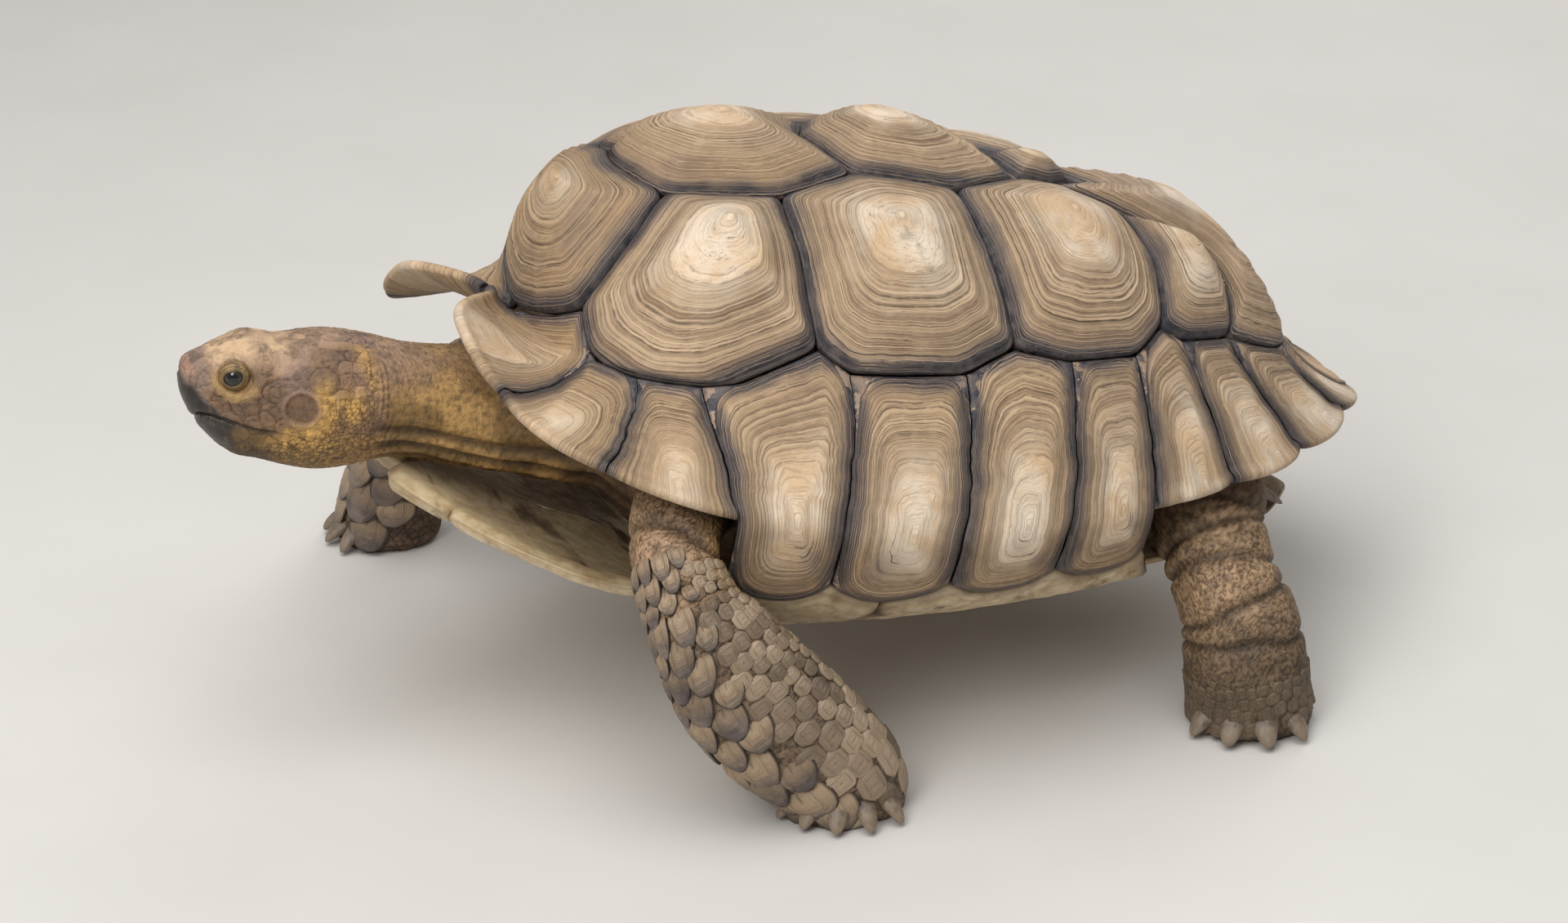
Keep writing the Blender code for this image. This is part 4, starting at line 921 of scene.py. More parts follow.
# distance forward, top, bottom, half width
HEAD = (
    (-0.004, 0.0200, -0.0440, 0.0310), (0.012, 0.0234, -0.0468, 0.0330), (0.030, 0.0250, -0.0476, 0.0335),
    (0.046, 0.0238, -0.0444, 0.0305), (0.060, 0.0270, -0.0400, 0.0275), (0.072, 0.0238, -0.0370, 0.0240),
    (0.084, 0.0200, -0.0250, 0.0190), (0.092, 0.0175, -0.0118, 0.0138), (0.0955, 0.0145, -0.0050, 0.0095),
    (0.0968, 0.0080, 0.0020, 0.0025),
)
EYE_AT, EYE_RADIUS = np.array([0.0690, 0.0160, 0.0112]), 0.0072
EAR_AT, EAR_RADIUS = (0.0369, -0.0042), 0.0082
# the mouth's slit, and the upper edge of the beak's horn, as (forward, up)
MOUTH = ((0.0500, -0.0172), (0.0614, -0.0158), (0.0688, -0.0133), (0.0756, -0.0107), (0.0821, -0.0086),
         (0.0878, -0.0086), (0.0903, -0.0150), (0.0903, -0.0300))
BEAK_TOP = ((0.0745, -0.0100), (0.0775, -0.0045), (0.0900, 0.0085), (0.0968, 0.0108))
NECK = (
    ((-0.150, 0.0, 0.155), 0.056, 0.036), ((-0.190, 0.0, 0.1600), 0.050, 0.036),
    ((-0.218, 0.0, 0.1645), 0.043, 0.0325), ((-0.247, 0.0, 0.1705), 0.037, 0.0302),
    ((-0.270, -0.001, 0.1768), 0.0335, 0.0298), ((-0.2885, -0.003, 0.1826), 0.0308, 0.0315),
)
TAIL = (
    ((0.150, 0, 0.125), 0.026, 0.022), ((0.192, 0, 0.104), 0.021, 0.018),
    ((0.216, 0.004, 0.086), 0.015, 0.013), ((0.232, 0.010, 0.070), 0.009, 0.0085),
    ((0.240, 0.014, 0.061), 0.004, 0.004),
)
# Legs as (centre, half width, half depth) from the shoulder or hip down, then the sole in the same form.
LEGS = {
    "front_left": ((
        ((-0.118, -0.066, 0.146), 0.030, 0.026), ((-0.152, -0.112, 0.150), 0.026, 0.023),
        ((-0.168, -0.149, 0.141), 0.0225, 0.021), ((-0.1650, -0.168, 0.121), 0.0240, 0.0205),
        ((-0.1565, -0.177, 0.104), 0.0300, 0.0210), ((-0.141, -0.181, 0.079), 0.0350, 0.0215),
        ((-0.1187, -0.182, 0.0525), 0.0360, 0.0230), ((-0.0945, -0.179, 0.0265), 0.0330, 0.0260),
    ), ((-0.086, -0.176), 0.032, 0.028)),
    "front_right": ((
        ((-0.118, 0.066, 0.138), 0.030, 0.026), ((-0.155, 0.108, 0.140), 0.029, 0.023),
        ((-0.187, 0.140, 0.126), 0.027, 0.022), ((-0.208, 0.165, 0.100), 0.029, 0.0215),
        ((-0.224, 0.183, 0.070), 0.030, 0.0230), ((-0.234, 0.194, 0.044), 0.030, 0.0240),
        ((-0.240, 0.201, 0.021), 0.030, 0.0260),
    ), ((-0.242, 0.203), 0.030, 0.028)),
    "hind_left": ((
        ((0.118, -0.060, 0.122), 0.034, 0.028), ((0.140, -0.094, 0.116), 0.034, 0.028),
        ((0.138, -0.120, 0.0945), 0.030, 0.028), ((0.138, -0.140, 0.0765), 0.0285, 0.028),
        ((0.1425, -0.150, 0.059), 0.0310, 0.029), ((0.1445, -0.155, 0.042), 0.0330, 0.030),
        ((0.147, -0.157, 0.020), 0.0325, 0.031),
    ), ((0.149, -0.157), 0.034, 0.031)),
    "hind_right": ((
        ((0.118, 0.060, 0.116), 0.034, 0.028), ((0.140, 0.094, 0.112), 0.034, 0.028),
        ((0.140, 0.120, 0.092), 0.031, 0.028), ((0.129, 0.142, 0.066), 0.030, 0.029),
        ((0.117, 0.155, 0.042), 0.031, 0.030), ((0.109, 0.161, 0.020), 0.0325, 0.031),
    ), ((0.106, 0.163), 0.034, 0.031)),
}
# Spurs behind the thighs, as (root, tip)
SPURS = {
    "hind_left": ((0.164, -0.101, 0.112), (0.1885, -0.101, 0.096)),
    "hind_right": ((0.162, 0.108, 0.096), (0.185, 0.112, 0.088)),
}
SPUR_RADIUS = 0.0066


def leg_limb(name):
    stations, ((x, y), a, b) = LEGS[name]
    return Limb((*stations, ((x, y, 0.006), a, b), ((x, y, 0.0), a * 0.90, b * 0.90)), 150)


LIMBS = {name: leg_limb(name) for name in LEGS}
NECK_LIMB = Limb(NECK, 80, 2.2, (0, -1, 0))
TAIL_LIMB = Limb(TAIL, 60, 2.0, (0, -1, 0))


def head_frame(p):
    """Forward, left and up of points of the frame."""
    away = np.asarray(p) - HEAD_AT
    return np.stack([away @ FORWARD, away @ LEFT, away @ UP], -1)


def from_head(q):
    q = np.asarray(q, float)
    return HEAD_AT + q[..., :1] * FORWARD + q[..., 1:2] * LEFT + q[..., 2:3] * UP


HEAD_ROWS = spline(HEAD, 160)


def head_surface(forward, angle):
    """Points of the head's plain form in its own frame: angle 0 is its left side and 90 degrees its crown."""
    top, bottom, half = (np.interp(forward, HEAD_ROWS[:, 0], HEAD_ROWS[:, k]) for k in (1, 2, 3))
    c, s = oval(angle, 2.3)
    return np.stack([forward + 0 * c, half * c, (top + bottom) / 2 + (top - bottom) / 2 * s], -1)


def head_mesh(around=64):
    """The head's plain form, closed behind by rows that narrow inside the neck."""
    angle = np.linspace(0, 2 * math.pi, around, endpoint=False)
    rear = ((-0.034, 0.30), (-0.030, 0.55), (-0.024, 0.74), (-0.016, 0.88), (-0.009, 0.96))
    forward, angle = np.meshgrid(np.append([a for a, _ in rear], HEAD_ROWS[::2, 0]), angle, indexing="ij")
    q = head_surface(np.maximum(forward, HEAD[0][0]), angle)
    q[..., 0] = forward
    middle = (0, -0.012)
    for row, (_, share) in enumerate(rear):
        q[row, :, 1:] = middle + (q[row, :, 1:] - middle) * share
    return capped(from_head(q))


def trunk_mesh():
    """The body inside the shell, with the skin that closes its front and rear openings."""
    around = np.radians(np.arange(0, 360, 5.0))
    phi = np.where(around > math.pi, 2 * math.pi - around, around)
    side = np.where(around > math.pi, 1.0, -1.0)
    rows = []
    for u in np.linspace(0.10, 1.42, 14):
        u = u * (1 - 0.34 * bump(np.degrees(phi), 16))
        a = dome(np.clip(phi + 0.01, 0, math.pi), u, side) - dome(np.clip(phi - 0.01, 0, math.pi), u, side)
        b = dome(phi, u + 0.02, side) - dome(phi, u - 0.02, side)
        normal = unit(np.cross(a, b)) * side[:, None]
        normal[np.abs(np.sin(phi)) < 1e-6, 1] = 0
        rows.append(dome(phi, u, side) - unit(normal) * (PLATE + 0.0050))
    c, s = np.cos(phi), np.abs(np.sin(phi))
    flank = (-np.where(c > 0, 0.185, 0.180) * c, side * 0.146 * s ** 0.8, np.full(len(phi), 0.062))
    rows.append(np.stack(flank, -1))
    base = np.stack([-np.where(c > 0, 0.145, 0.160) * c, side * 0.098 * s ** 0.8], -1)
    floor = belly(base[:, 0], base[:, 1])
    rows.append(floor + np.stack([0 * c, 0 * c, belly_thick(floor) + 0.0034], -1))
    return capped(to_frame(np.stack(rows)))


# ---------------------------------------------------------------- skin

VOXEL = 0.0025
MOUTH_DEPTH = 0.0016
NOSTRIL_AT = (0.0953, 0.0044, 0.0098)
# (place, half sizes) of the two large plates behind the eye, and (angle, width, depth) of the neck's folds.
TEMPLE_PLATES = (((0.0251, 0.0093), (0.0078, 0.0064)), ((0.0455, 0.0048), (0.0112, 0.0062)))
NECK_FOLDS = ((-0.18, 0.13, 1.0), (-0.55, 0.14, 1.2), (-0.95, 0.16, 1.0), (-1.35, 0.17, 0.9))
FAR = 9  # farther than anything on the animal


def mouth_line(forward):
    """Height of the mouth's slit over the head's length."""
    return np.interp(forward, *np.transpose(MOUTH[:-1])) - 0.05 * (forward > MOUTH[-2][0])


def slit_distance(forward, up):
    """How far points of the head's side view lie from the mouth's slit."""
    p, nearest = np.stack([forward, up], -1), np.full(np.shape(forward), np.inf)
    for start, end in zip(np.array(MOUTH[:-1]), np.array(MOUTH[1:])):
        share = np.clip(((p - start) @ (end - start)) / ((end - start) @ (end - start)), 0, 1)
        nearest = np.minimum(nearest, np.linalg.norm(p - start - share[..., None] * (end - start), axis=-1))
    return nearest


def beak_share(q):
    """How fully points of the head carry the horn of the upper and of the lower beak."""
    forward, up = q[:, 0], q[:, 2]
    above = up > mouth_line(forward)
    rough = 0.0022 * noise(q, 0.0060, 33)
    over = (np.interp(forward, *np.transpose(BEAK_TOP)) - up + rough) / 0.0075
    upper = np.minimum(over, (forward - 0.0735 + rough) / 0.0075)
    lower = np.minimum((forward - 0.0680 + rough) / 0.0100, (up + 0.0320 + rough) / 0.0090)
    return np.clip(np.where(above, upper, 0), 0, 1), np.clip(np.where(above, 0, lower), 0, 1)


def fused(verts, faces):
    """One closed (points, faces) round overlapping bodies."""
    mesh = bpy.data.meshes.new("flesh")
    mesh.from_pydata(np.asarray(verts).tolist(), [], faces)
    draft = bpy.data.objects.new("flesh", mesh)
    bpy.context.scene.collection.objects.link(draft)
    modifier = draft.modifiers.new("REMESH", "REMESH")
    modifier.mode, modifier.voxel_size = "VOXEL", VOXEL
    done = draft.evaluated_get(bpy.context.evaluated_depsgraph_get()).to_mesh()
    points = np.empty(len(done.vertices) * 3)
    done.vertices.foreach_get("co", points)
    faces = [tuple(p.vertices) for p in done.polygons]
    bpy.data.objects.remove(draft)
    bpy.data.meshes.remove(mesh)
    return points.reshape(-1, 3), faces


def refine(points, faces, wanted):
    """Each face whose middle is wanted is split in four."""
    mesh = bmesh.new()
    for p in points:
        mesh.verts.new(p)
    mesh.verts.ensure_lookup_table()
    for face in faces:
        mesh.faces.new([mesh.verts[i] for i in face])
    chosen = wanted(np.array([f.calc_center_median() for f in mesh.faces]))
    mesh.faces.ensure_lookup_table()
    edges = {e for f, yes in zip(mesh.faces, chosen) if yes for e in f.edges}
    bmesh.ops.subdivide_edges(mesh, edges=list(edges), cuts=1, use_grid_fill=True, smooth=0.0)
    points = np.array([v.co for v in mesh.verts])
    mesh.verts.index_update()
    faces = [tuple(v.index for v in f.verts) for f in mesh.faces]
    mesh.free()
    return points, faces


def by_corners(faces):
    """The faces as arrays, one for each number of corners."""
    return [np.array([f for f in faces if len(f) == n]) for n in {len(f) for f in faces}]


def mesh_edges(faces):
    """Both ends of each side of each face."""
    return np.concatenate([np.stack([f, np.roll(f, -1, 1)], -1).reshape(-1, 2) for f in by_corners(faces)])


def soften(points, pairs, times, amount=0.5):
    """Each point drawn towards the middle of its neighbours, by one amount or by each point's own."""
    count = np.bincount(pairs[:, 0], minlength=len(points))[:, None]
    for _ in range(times):
        total = np.stack([np.bincount(pairs[:, 0], points[pairs[:, 1], k], len(points)) for k in range(3)], -1)
        total += np.stack([np.bincount(pairs[:, 1], points[pairs[:, 0], k], len(points)) for k in range(3)], -1)
        both = count + np.bincount(pairs[:, 1], minlength=len(points))[:, None]
        points = mix(points, total / both, amount)
    return points


def point_normals(points, faces):
    total = np.zeros_like(points)
    for group in by_corners(faces):
        a, b, c = (points[group[:, k]] for k in range(3))
        normal = np.cross(b - a, c - a)
        for k in range(group.shape[1]):
            for axis in range(3):
                total[:, axis] += np.bincount(group[:, k], normal[:, axis], len(points))
    return unit(total)


def flesh():
    """One closed skin over trunk, neck, head, tail and legs, finest on the head."""
    legs = [limb.mesh() for limb in LIMBS.values()]
    verts, faces = joined([trunk_mesh(), head_mesh(), NECK_LIMB.mesh(), TAIL_LIMB.mesh(24), *legs])
    points, faces = fused(verts, faces)
    points = soften(points, mesh_edges(faces), 5)
    nape = bump(head_frame(points)[:, 0] + 0.012, 0.016) * (np.abs(head_frame(points)[:, 1]) < 0.06)
    points = soften(points, mesh_edges(faces), 40, 0.6 * nape[:, None])

    def outside(p):
        q = head_frame(p)
        in_head = (q[:, 0] > -0.06) & (np.abs(q[:, 1]) < 0.06) & (q[:, 2] > -0.06)
        low = (p[:, 2] < 0.105) & (np.abs(p[:, 1] - CENTRE[1]) > 0.105)
        beside = (np.abs(p[:, 1] - CENTRE[1]) > 0.115) & (p[:, 2] < 0.17)
        front = (np.abs(p[:, 0] - CENTRE[0] + 0.165) < 0.045) & beside
        return in_head | low | front

    points, faces = refine(points, faces, outside)
    points, faces = refine(points, faces, lambda p: head_frame(p)[:, 0] > -0.008)
    points = soften(points, mesh_edges(faces), 2)
    return points, faces


def leg_scales_size(name, where, limb):
    """Size of a leg's own small scales, from the shoulder or hip down."""
    return np.interp(where, [0.06, 0.14, limb.length[-1]], [0.0034, 0.0046, 0.0060] if "front" in name
                     else [0.0030, 0.0034, 0.0048])


def broad_scales(name, where, angle):
    """Where a front leg's outer side carries broad flat scales, from the knee down."""
    turned = angle if name == "front_left" else -angle
    side = smooth(0.10, 0.35, turned) * smooth(2.35, 2.10, turned)
    return side * smooth(0.128, 0.136, where) * ("front" in name)


class Hide:
    """The skin's relief as it is built up at its points.

    height is how far each point moves out, gap is 0 in the furrow round a scale, which gets painted shade, and 1 on
    it, number is a scale's own, and dark marks slits and creases, which are painted in deep shade."""

    def __init__(self, points):
        count = len(points)
        self.points, self.q = points, head_frame(points)
        self.forward, self.left, self.up = self.q[:, 0], np.abs(self.q[:, 1]), self.q[:, 2]
        self.height, self.gap, self.number = np.zeros(count), np.ones(count), np.full(count, 0.5)
        self.dark = np.zeros(count)

    def lay(self, where, gap, number):
        """Scales over the points where the mask is over a half."""
        self.gap = np.where(where > 0.5, gap, self.gap)
        self.number = np.where(where > 0.5, number, self.number)

    # Painted shade: where the mask is set, the skin's colour is darkened nearly to black.
    def paint_shade(self, mask):
        self.dark = np.maximum(self.dark, mask)


def from_eye(forward, left, up, narrow=0.86):
    """Distance from the eye over the side of the head, less along its length."""
    return np.hypot((forward - EYE_AT[0]) * narrow, up - EYE_AT[2]) + FAR * (left < 0.010)


def from_ear(forward, left, up):
    return np.hypot(forward - EAR_AT[0], up - EAR_AT[1]) + FAR * (left < 0.02)


def head_scales(hide, in_head, calm):
    """Rounded plates with ridges along their outlines, a crinkled crown, fine scales on throat and jaw."""
    q, forward, left, up = hide.q, hide.forward, hide.left, hide.up
    wavy = q + 0.0012 * np.stack([noise(q, 0.006, 200 + k) for k in range(3)], -1)
    edge, own = cells(wavy / (0.0082, 0.0070, 0.0068), 41, 0.75)
    small_edge, small_own = cells(wavy / 0.0024, 43, 0.8)
    crown_edge, _ = cells(wavy / (0.0036, 0.0026, 0.0026), 45, 0.9)
    for (ahead, high), (half, tall) in TEMPLE_PLATES:
        part = np.hypot((forward - ahead) / half, (up - high) / tall) + FAR * (left < 0.015)
        own = np.where(part < 1.12, 0.22, own)
        edge = np.where(part < 1.12, np.abs(part - 1.0) * 1.1, edge)
    throat = np.maximum(smooth(-0.0135, -0.0215, up + 0.25 * (forward - 0.03)), smooth(0.010, -0.006, forward))
    throat = np.maximum(throat, smooth(0.028, 0.020, forward) * smooth(0.006, -0.004, up))
    plates, fine = in_head * (1 - throat) * calm, in_head * throat * calm
    worn = 1 - 0.65 * smooth(0.006, 0.020, up) * smooth(0.015, 0.045, forward)
    ridges = 0.00016 * np.cos(edge * 26) * smooth(0.55, 0.1, edge)
    hide.height += plates * worn * (0.00055 * (smooth(0, 0.22, edge) - 1) + ridges)
    hide.height += plates * (0.00020 * (smooth(0, 0.3, crown_edge) - 1) + 0.00022 * noise(q, 0.0024, 46))
    hide.height += fine * 0.00028 * (smooth(0, 0.30, small_edge) - 1)
    fade = 1 - worn * (1 - smooth(0.0, 0.10, edge)) * smooth(-0.9, 0.1, noise(q, 0.008, 210))
    hide.lay(fine, smooth(0.0, 0.35, small_edge), small_own)
    hide.lay(plates, fade * mix(0.72, 1.0, smooth(0, 0.3, crown_edge)), own)


def head_features(hide, in_head, eye_far, ear_far):
    """Wrinkles round eye and ear, eye socket, brow, ear, mouth and nostrils."""
    q, forward, left, up = hide.q, hide.forward, hide.left, hide.up
    behind = smooth(0.4, -0.5, ((forward - EAR_AT[0]) + 0.9 * (up - EAR_AT[1])) / 0.01)
    round_eye = 0.00014 * np.sin(eye_far * 2 * math.pi / 0.0014) * bump(eye_far - 0.0112, 0.0030)
    ring = np.sin((ear_far + 0.0006 * noise(q, 0.006, 212)) * 2 * math.pi / 0.0015)
    round_ear = 0.00022 * ring * behind * bump(ear_far - 0.0125, 0.0050)
    socket = 0.0008 * bump(eye_far - 0.0112, 0.0026) - 0.0040 * smooth(0.0084, 0.0060, eye_far)
    brow = 0.0010 * bump(forward - 0.064, 0.012) * bump(up - 0.0240, 0.006) * (left > 0.008)
    rim = EAR_RADIUS + 0.0008
    ear = 0.0004 * bump(ear_far - rim, 0.0010) - 0.0012 * smooth(rim, EAR_RADIUS - 0.0012, ear_far)
    slit = slit_distance(forward, up)
    lips = smooth(0.046, 0.056, forward)
    mouth = lips * (0.0005 * bump(slit - 0.0028, 0.0018) - MOUTH_DEPTH * bump(slit, 0.0010))
    nostril = np.linalg.norm((q - NOSTRIL_AT) * (1, 0, 1), axis=-1) + np.abs(left - NOSTRIL_AT[1])
    cheek = bump(forward - 0.024, 0.020) * bump(up - 0.003, 0.014) * smooth(0.0095, 0.012, ear_far)
    hide.height += in_head * (round_eye + round_ear + socket + brow + ear + mouth + 0.0006 * cheek)
    hide.height -= in_head * 0.0012 * bump(nostril, 0.0012)
    # painted shade in the mouth's slit and the nostrils
    hide.paint_shade(in_head * np.maximum(lips * bump(slit, 0.0010), bump(nostril, 0.0013)))


def neck_relief(hide):
    """Fine rings near the head and long folds below; returns where the neck is."""
    points = hide.points
    where, angle, far = NECK_LIMB.find(points)
    neck = smooth(0.006, -0.006, hide.forward) * (far < 1.4) * (points[:, 0] < CENTRE[0] - 0.150)
    below = smooth(0.30, -0.25, np.sin(angle))
    turn = angle + 0.10 * noise(points, 0.03, 61)
    fold = np.zeros(len(points))
    for middle, width, deep in NECK_FOLDS:
        for one in (turn, math.pi - turn):
            off = (one + math.pi) % (2 * math.pi) - math.pi
            fold = np.maximum(fold, deep * bump(off - middle - 1.2 * (where - 0.10), width))
    bent = where + 0.012 * np.cos(angle) + 0.0016 * noise(points, 0.009, 62)
    lines = np.sin(angle * 52 + 150 * where * np.sign(np.cos(angle)) + 3.0 * noise(points, 0.012, 63))
    edge, own = cells(points / 0.0024, 64, 0.8)
    hide.height -= neck * 0.0040 * fold * smooth(0.150, 0.125, where)
    hide.height += neck * (1 - 0.6 * below) * 0.00034 * np.sin(bent * 2 * math.pi / 0.0030)
    hide.height += neck * (below * 0.00036 * lines + 0.00022 * (smooth(0, 0.3, edge) - 1))
    hide.lay(neck, mix(0.55, 1.0, smooth(0, 0.3, edge)), own)
    # painted shade in the neck's folds
    hide.paint_shade(neck * 0.8 * smooth(0.35, 0.95, fold))
    return neck


def leg_relief(hide, neck):
    """Small scales in staggered rows, with creases where the joint bends."""
    points = hide.points
    for seed, (name, limb) in enumerate(LIMBS.items()):
        where, angle, far = limb.find(points)
        leg = smooth(1.45, 1.15, far) * smooth(0.05, 0.07, where) * (neck < 0.5)
        wave = np.stack([noise(points, 0.009, 81 + k) for k in (0, 1)], -1)
        flat = np.stack([angle * limb.girth(where), where], -1) + 0.0006 * wave
        coarse = 0.0036 if "hind" in name else 0.0044
        edge, own = cells(flat / (coarse, coarse * 0.86), 90 + seed, 0.55)
        groove = 0.16 * leg_scales_size(name, where, limb) * (smooth(0, 0.30, edge) - 1)
        hide.height += leg * np.where(broad_scales(name, where, angle) > 0.5, -0.0006, groove)
        crease = np.zeros(len(points))
        for spot, tilt, wide in CREASES[name]:
            off = where - spot - tilt * np.cos(angle) - 0.002 * noise(points, 0.02, 71)
            crease = np.maximum(crease, bump(off, wide))
        hide.height -= leg * 0.0028 * crease
        hide.lay(leg, smooth(0, 0.28, edge), own)
        # painted shade in the leg's creases
        hide.paint_shade(leg * 0.75 * crease)


def skin_relief(points):
    """How far each point moves out, and the masks that colour the skin."""
    hide = Hide(points)
    forward, left, up = hide.forward, hide.left, hide.up
    in_head = smooth(-0.012, 0.004, forward) * (left < 0.05)
    eye_far, ear_far = from_eye(forward, left, up), from_ear(forward, left, up)
    horn = np.maximum(*beak_share(hide.q))
    head_scales(hide, in_head, smooth(0.0090, 0.0120, eye_far) * smooth(0.0095, 0.0115, ear_far) * (1 - horn))
    head_features(hide, in_head, eye_far, ear_far)
    neck = neck_relief(hide)
    leg_relief(hide, neck)

    # everything else: soft wrinkled hide with fine grain
    rest = (in_head < 0.5) & (neck < 0.5) & (hide.gap >= 0.999)
    edge, own = cells(points / 0.0042, 67, 0.8)
    hide.height += rest * 0.0004 * (smooth(0, 0.3, edge) - 1)
    hide.height += 0.0005 * noise(points, 0.014, 68) * (1 - in_head)
    hide.lay(rest, smooth(0, 0.25, edge), own)
    return hide.height, hide.gap, hide.number, hide.dark


# Creases across each leg: (metres down it, tilt, width)
CREASES = {
    "front_left": ((0.098, 0.010, 0.0035), (0.120, 0.006, 0.0025)),
    "front_right": ((0.085, 0.0, 0.003),),
    "hind_left": ((0.062, 0.008, 0.0028), (0.080, -0.004, 0.0024), (0.098, 0.003, 0.0024),
                  (0.116, -0.002, 0.0022), (0.134, 0.003, 0.0022)),
    "hind_right": ((0.062, 0.0, 0.0028), (0.085, 0.0, 0.0024)),
}


def painted(colour, *laid):
    """Colours of points with others laid over them in turn, each given as (colour, how much of it)."""
    for over, mask in laid:
        colour = mix(colour, np.array(over), np.clip(mask, 0, 1)[:, None])
    return colour


def head_and_neck_paint(points, patchy, mottled):
    """Brown hide with a dusty crown, a golden throat and ear, an olive eye ring and a dark jaw."""
    q, body = head_frame(points), points - CENTRE
    forward, left, up = q[:, 0], np.abs(q[:, 1]), q[:, 2]
    eye_far, ear_far = from_eye(forward, left, up, 0.80), from_ear(forward, left, up)
    neck = smooth(-0.170, -0.200, body[:, 0]) * smooth(0.075, 0.055, np.abs(body[:, 1]))
    low = neck * smooth(0.014, -0.012, up + 0.16 * (forward + 0.004))
    in_head = smooth(-0.010, 0.000, forward) * (left < 0.05)
    dusty = smooth(0.010, 0.022, up) * smooth(0.026, 0.052, forward) * smooth(0.094, 0.078, forward)
    dusty = np.maximum(dusty, 0.40 * smooth(0.019, 0.024, up) * smooth(0.004, 0.020, forward))
    jaw = smooth(0.001, -0.002, up - mouth_line(forward)) * smooth(0.030, 0.056, forward)
    throat = smooth(-0.0150, -0.0270, up) * smooth(0.062, 0.034, forward)
    behind = smooth(0.5, -0.4, ((forward - EAR_AT[0]) + 0.8 * (up - EAR_AT[1])) / 0.01)
    gold = bump(ear_far - 0.0140, 0.0060) * behind
    gold = np.maximum(gold, bump(forward - 0.011, 0.009) * bump(up + 0.005, 0.009))
    nape = bump(forward - 0.001 - 0.25 * (up - 0.010), 0.0045) * smooth(-0.004, 0.006, up)
    chin = 0.8 * bump(up + 0.0225, 0.0060) * bump(forward - 0.040, 0.022)
    gold = np.maximum(np.maximum(gold, 0.6 * nape), chin)
    olive = smooth(0.0125, 0.0090, eye_far + 0.0016 * patchy)
    olive = olive * smooth(0.016, 0.004, up - 0.35 * (forward - 0.069))
    horn = np.maximum(*beak_share(q)) * in_head
    return painted(
        np.tile((0.105, 0.062, 0.032), (len(points), 1)),
        ((0.225, 0.145, 0.088), neck),
        ((0.165, 0.098, 0.030), low),
        ((0.335, 0.205, 0.070), low * smooth(0.15, 0.6, patchy) * 0.8),
        ((0.165, 0.098, 0.055), in_head),
        ((0.175, 0.112, 0.086), in_head * smooth(-0.1, 0.4, patchy) * 0.8),
        ((0.365, 0.255, 0.155), in_head * dusty * (0.75 + 0.45 * mottled + 0.25 * patchy)),
        ((0.070, 0.042, 0.018), in_head * jaw),
        ((0.290, 0.175, 0.048), in_head * throat * (0.75 + 0.4 * patchy)),
        ((0.480, 0.290, 0.082), gold * smooth(0.006, 0.014, left) * (0.85 + 0.3 * mottled)),
        ((0.118, 0.068, 0.034), 0.9 * smooth(EAR_RADIUS + 0.0012, EAR_RADIUS - 0.0015, ear_far)),
        ((0.300, 0.195, 0.070), olive * 0.80),
        ((0.155, 0.112, 0.088), smooth(0.080, 0.088, forward) * in_head * 0.8),
        ((0.270, 0.160, 0.110), in_head * bump(forward - 0.0925, 0.0040) * bump(up - 0.0135, 0.0035)),
        ((0.040, 0.028, 0.020), smooth(0.0, 0.9, horn + 0.15 * mottled * (horn > 0))),
    )


def leg_paint(name, where, angle, patchy):
    """Tan near the shoulder or hip and dark brown near the foot, golden behind a front leg."""
    if "front" in name:
        down = smooth(0.100, 0.165, where + 0.012 * patchy)[:, None]
        base = mix(np.array((0.290, 0.192, 0.112)), np.array((0.100, 0.064, 0.036)), down)
        rear = smooth(0.3, 0.9, np.cos(angle)) * smooth(0.20, 0.14, where)
        broad = broad_scales(name, where, angle)
        return painted(base, ((0.400, 0.250, 0.100), rear * 0.8), ((0.165, 0.115, 0.074), broad * 0.9))
    down = smooth(0.105, 0.150, where + 0.012 * patchy)[:, None]
    return mix(np.array((0.270, 0.182, 0.105)), np.array((0.105, 0.070, 0.040)), down)


def skin_paint(points):
    """The skin's own colour, shared by the scales that grow on it."""
    patchy, mottled = noise(points, 0.016, 101), noise(points, 0.005, 102)
    colour = head_and_neck_paint(points, patchy, mottled)
    behind_head = head_frame(points)[:, 0] < -0.02
    for name, limb in LIMBS.items():
        where, angle, far = limb.find(points)
        leg = smooth(1.5, 1.2, far) * smooth(0.06, 0.08, where) * behind_head
        shade = (1 + 0.16 * patchy + 0.14 * mottled)[:, None]
        colour = mix(colour, leg_paint(name, where, angle, patchy) * shade, leg[:, None])
    return np.clip(colour * (1 + 0.12 * patchy + 0.10 * mottled)[:, None], 0.002, 1)


def opaque(colour):
    return np.column_stack([colour, np.ones(len(colour))])


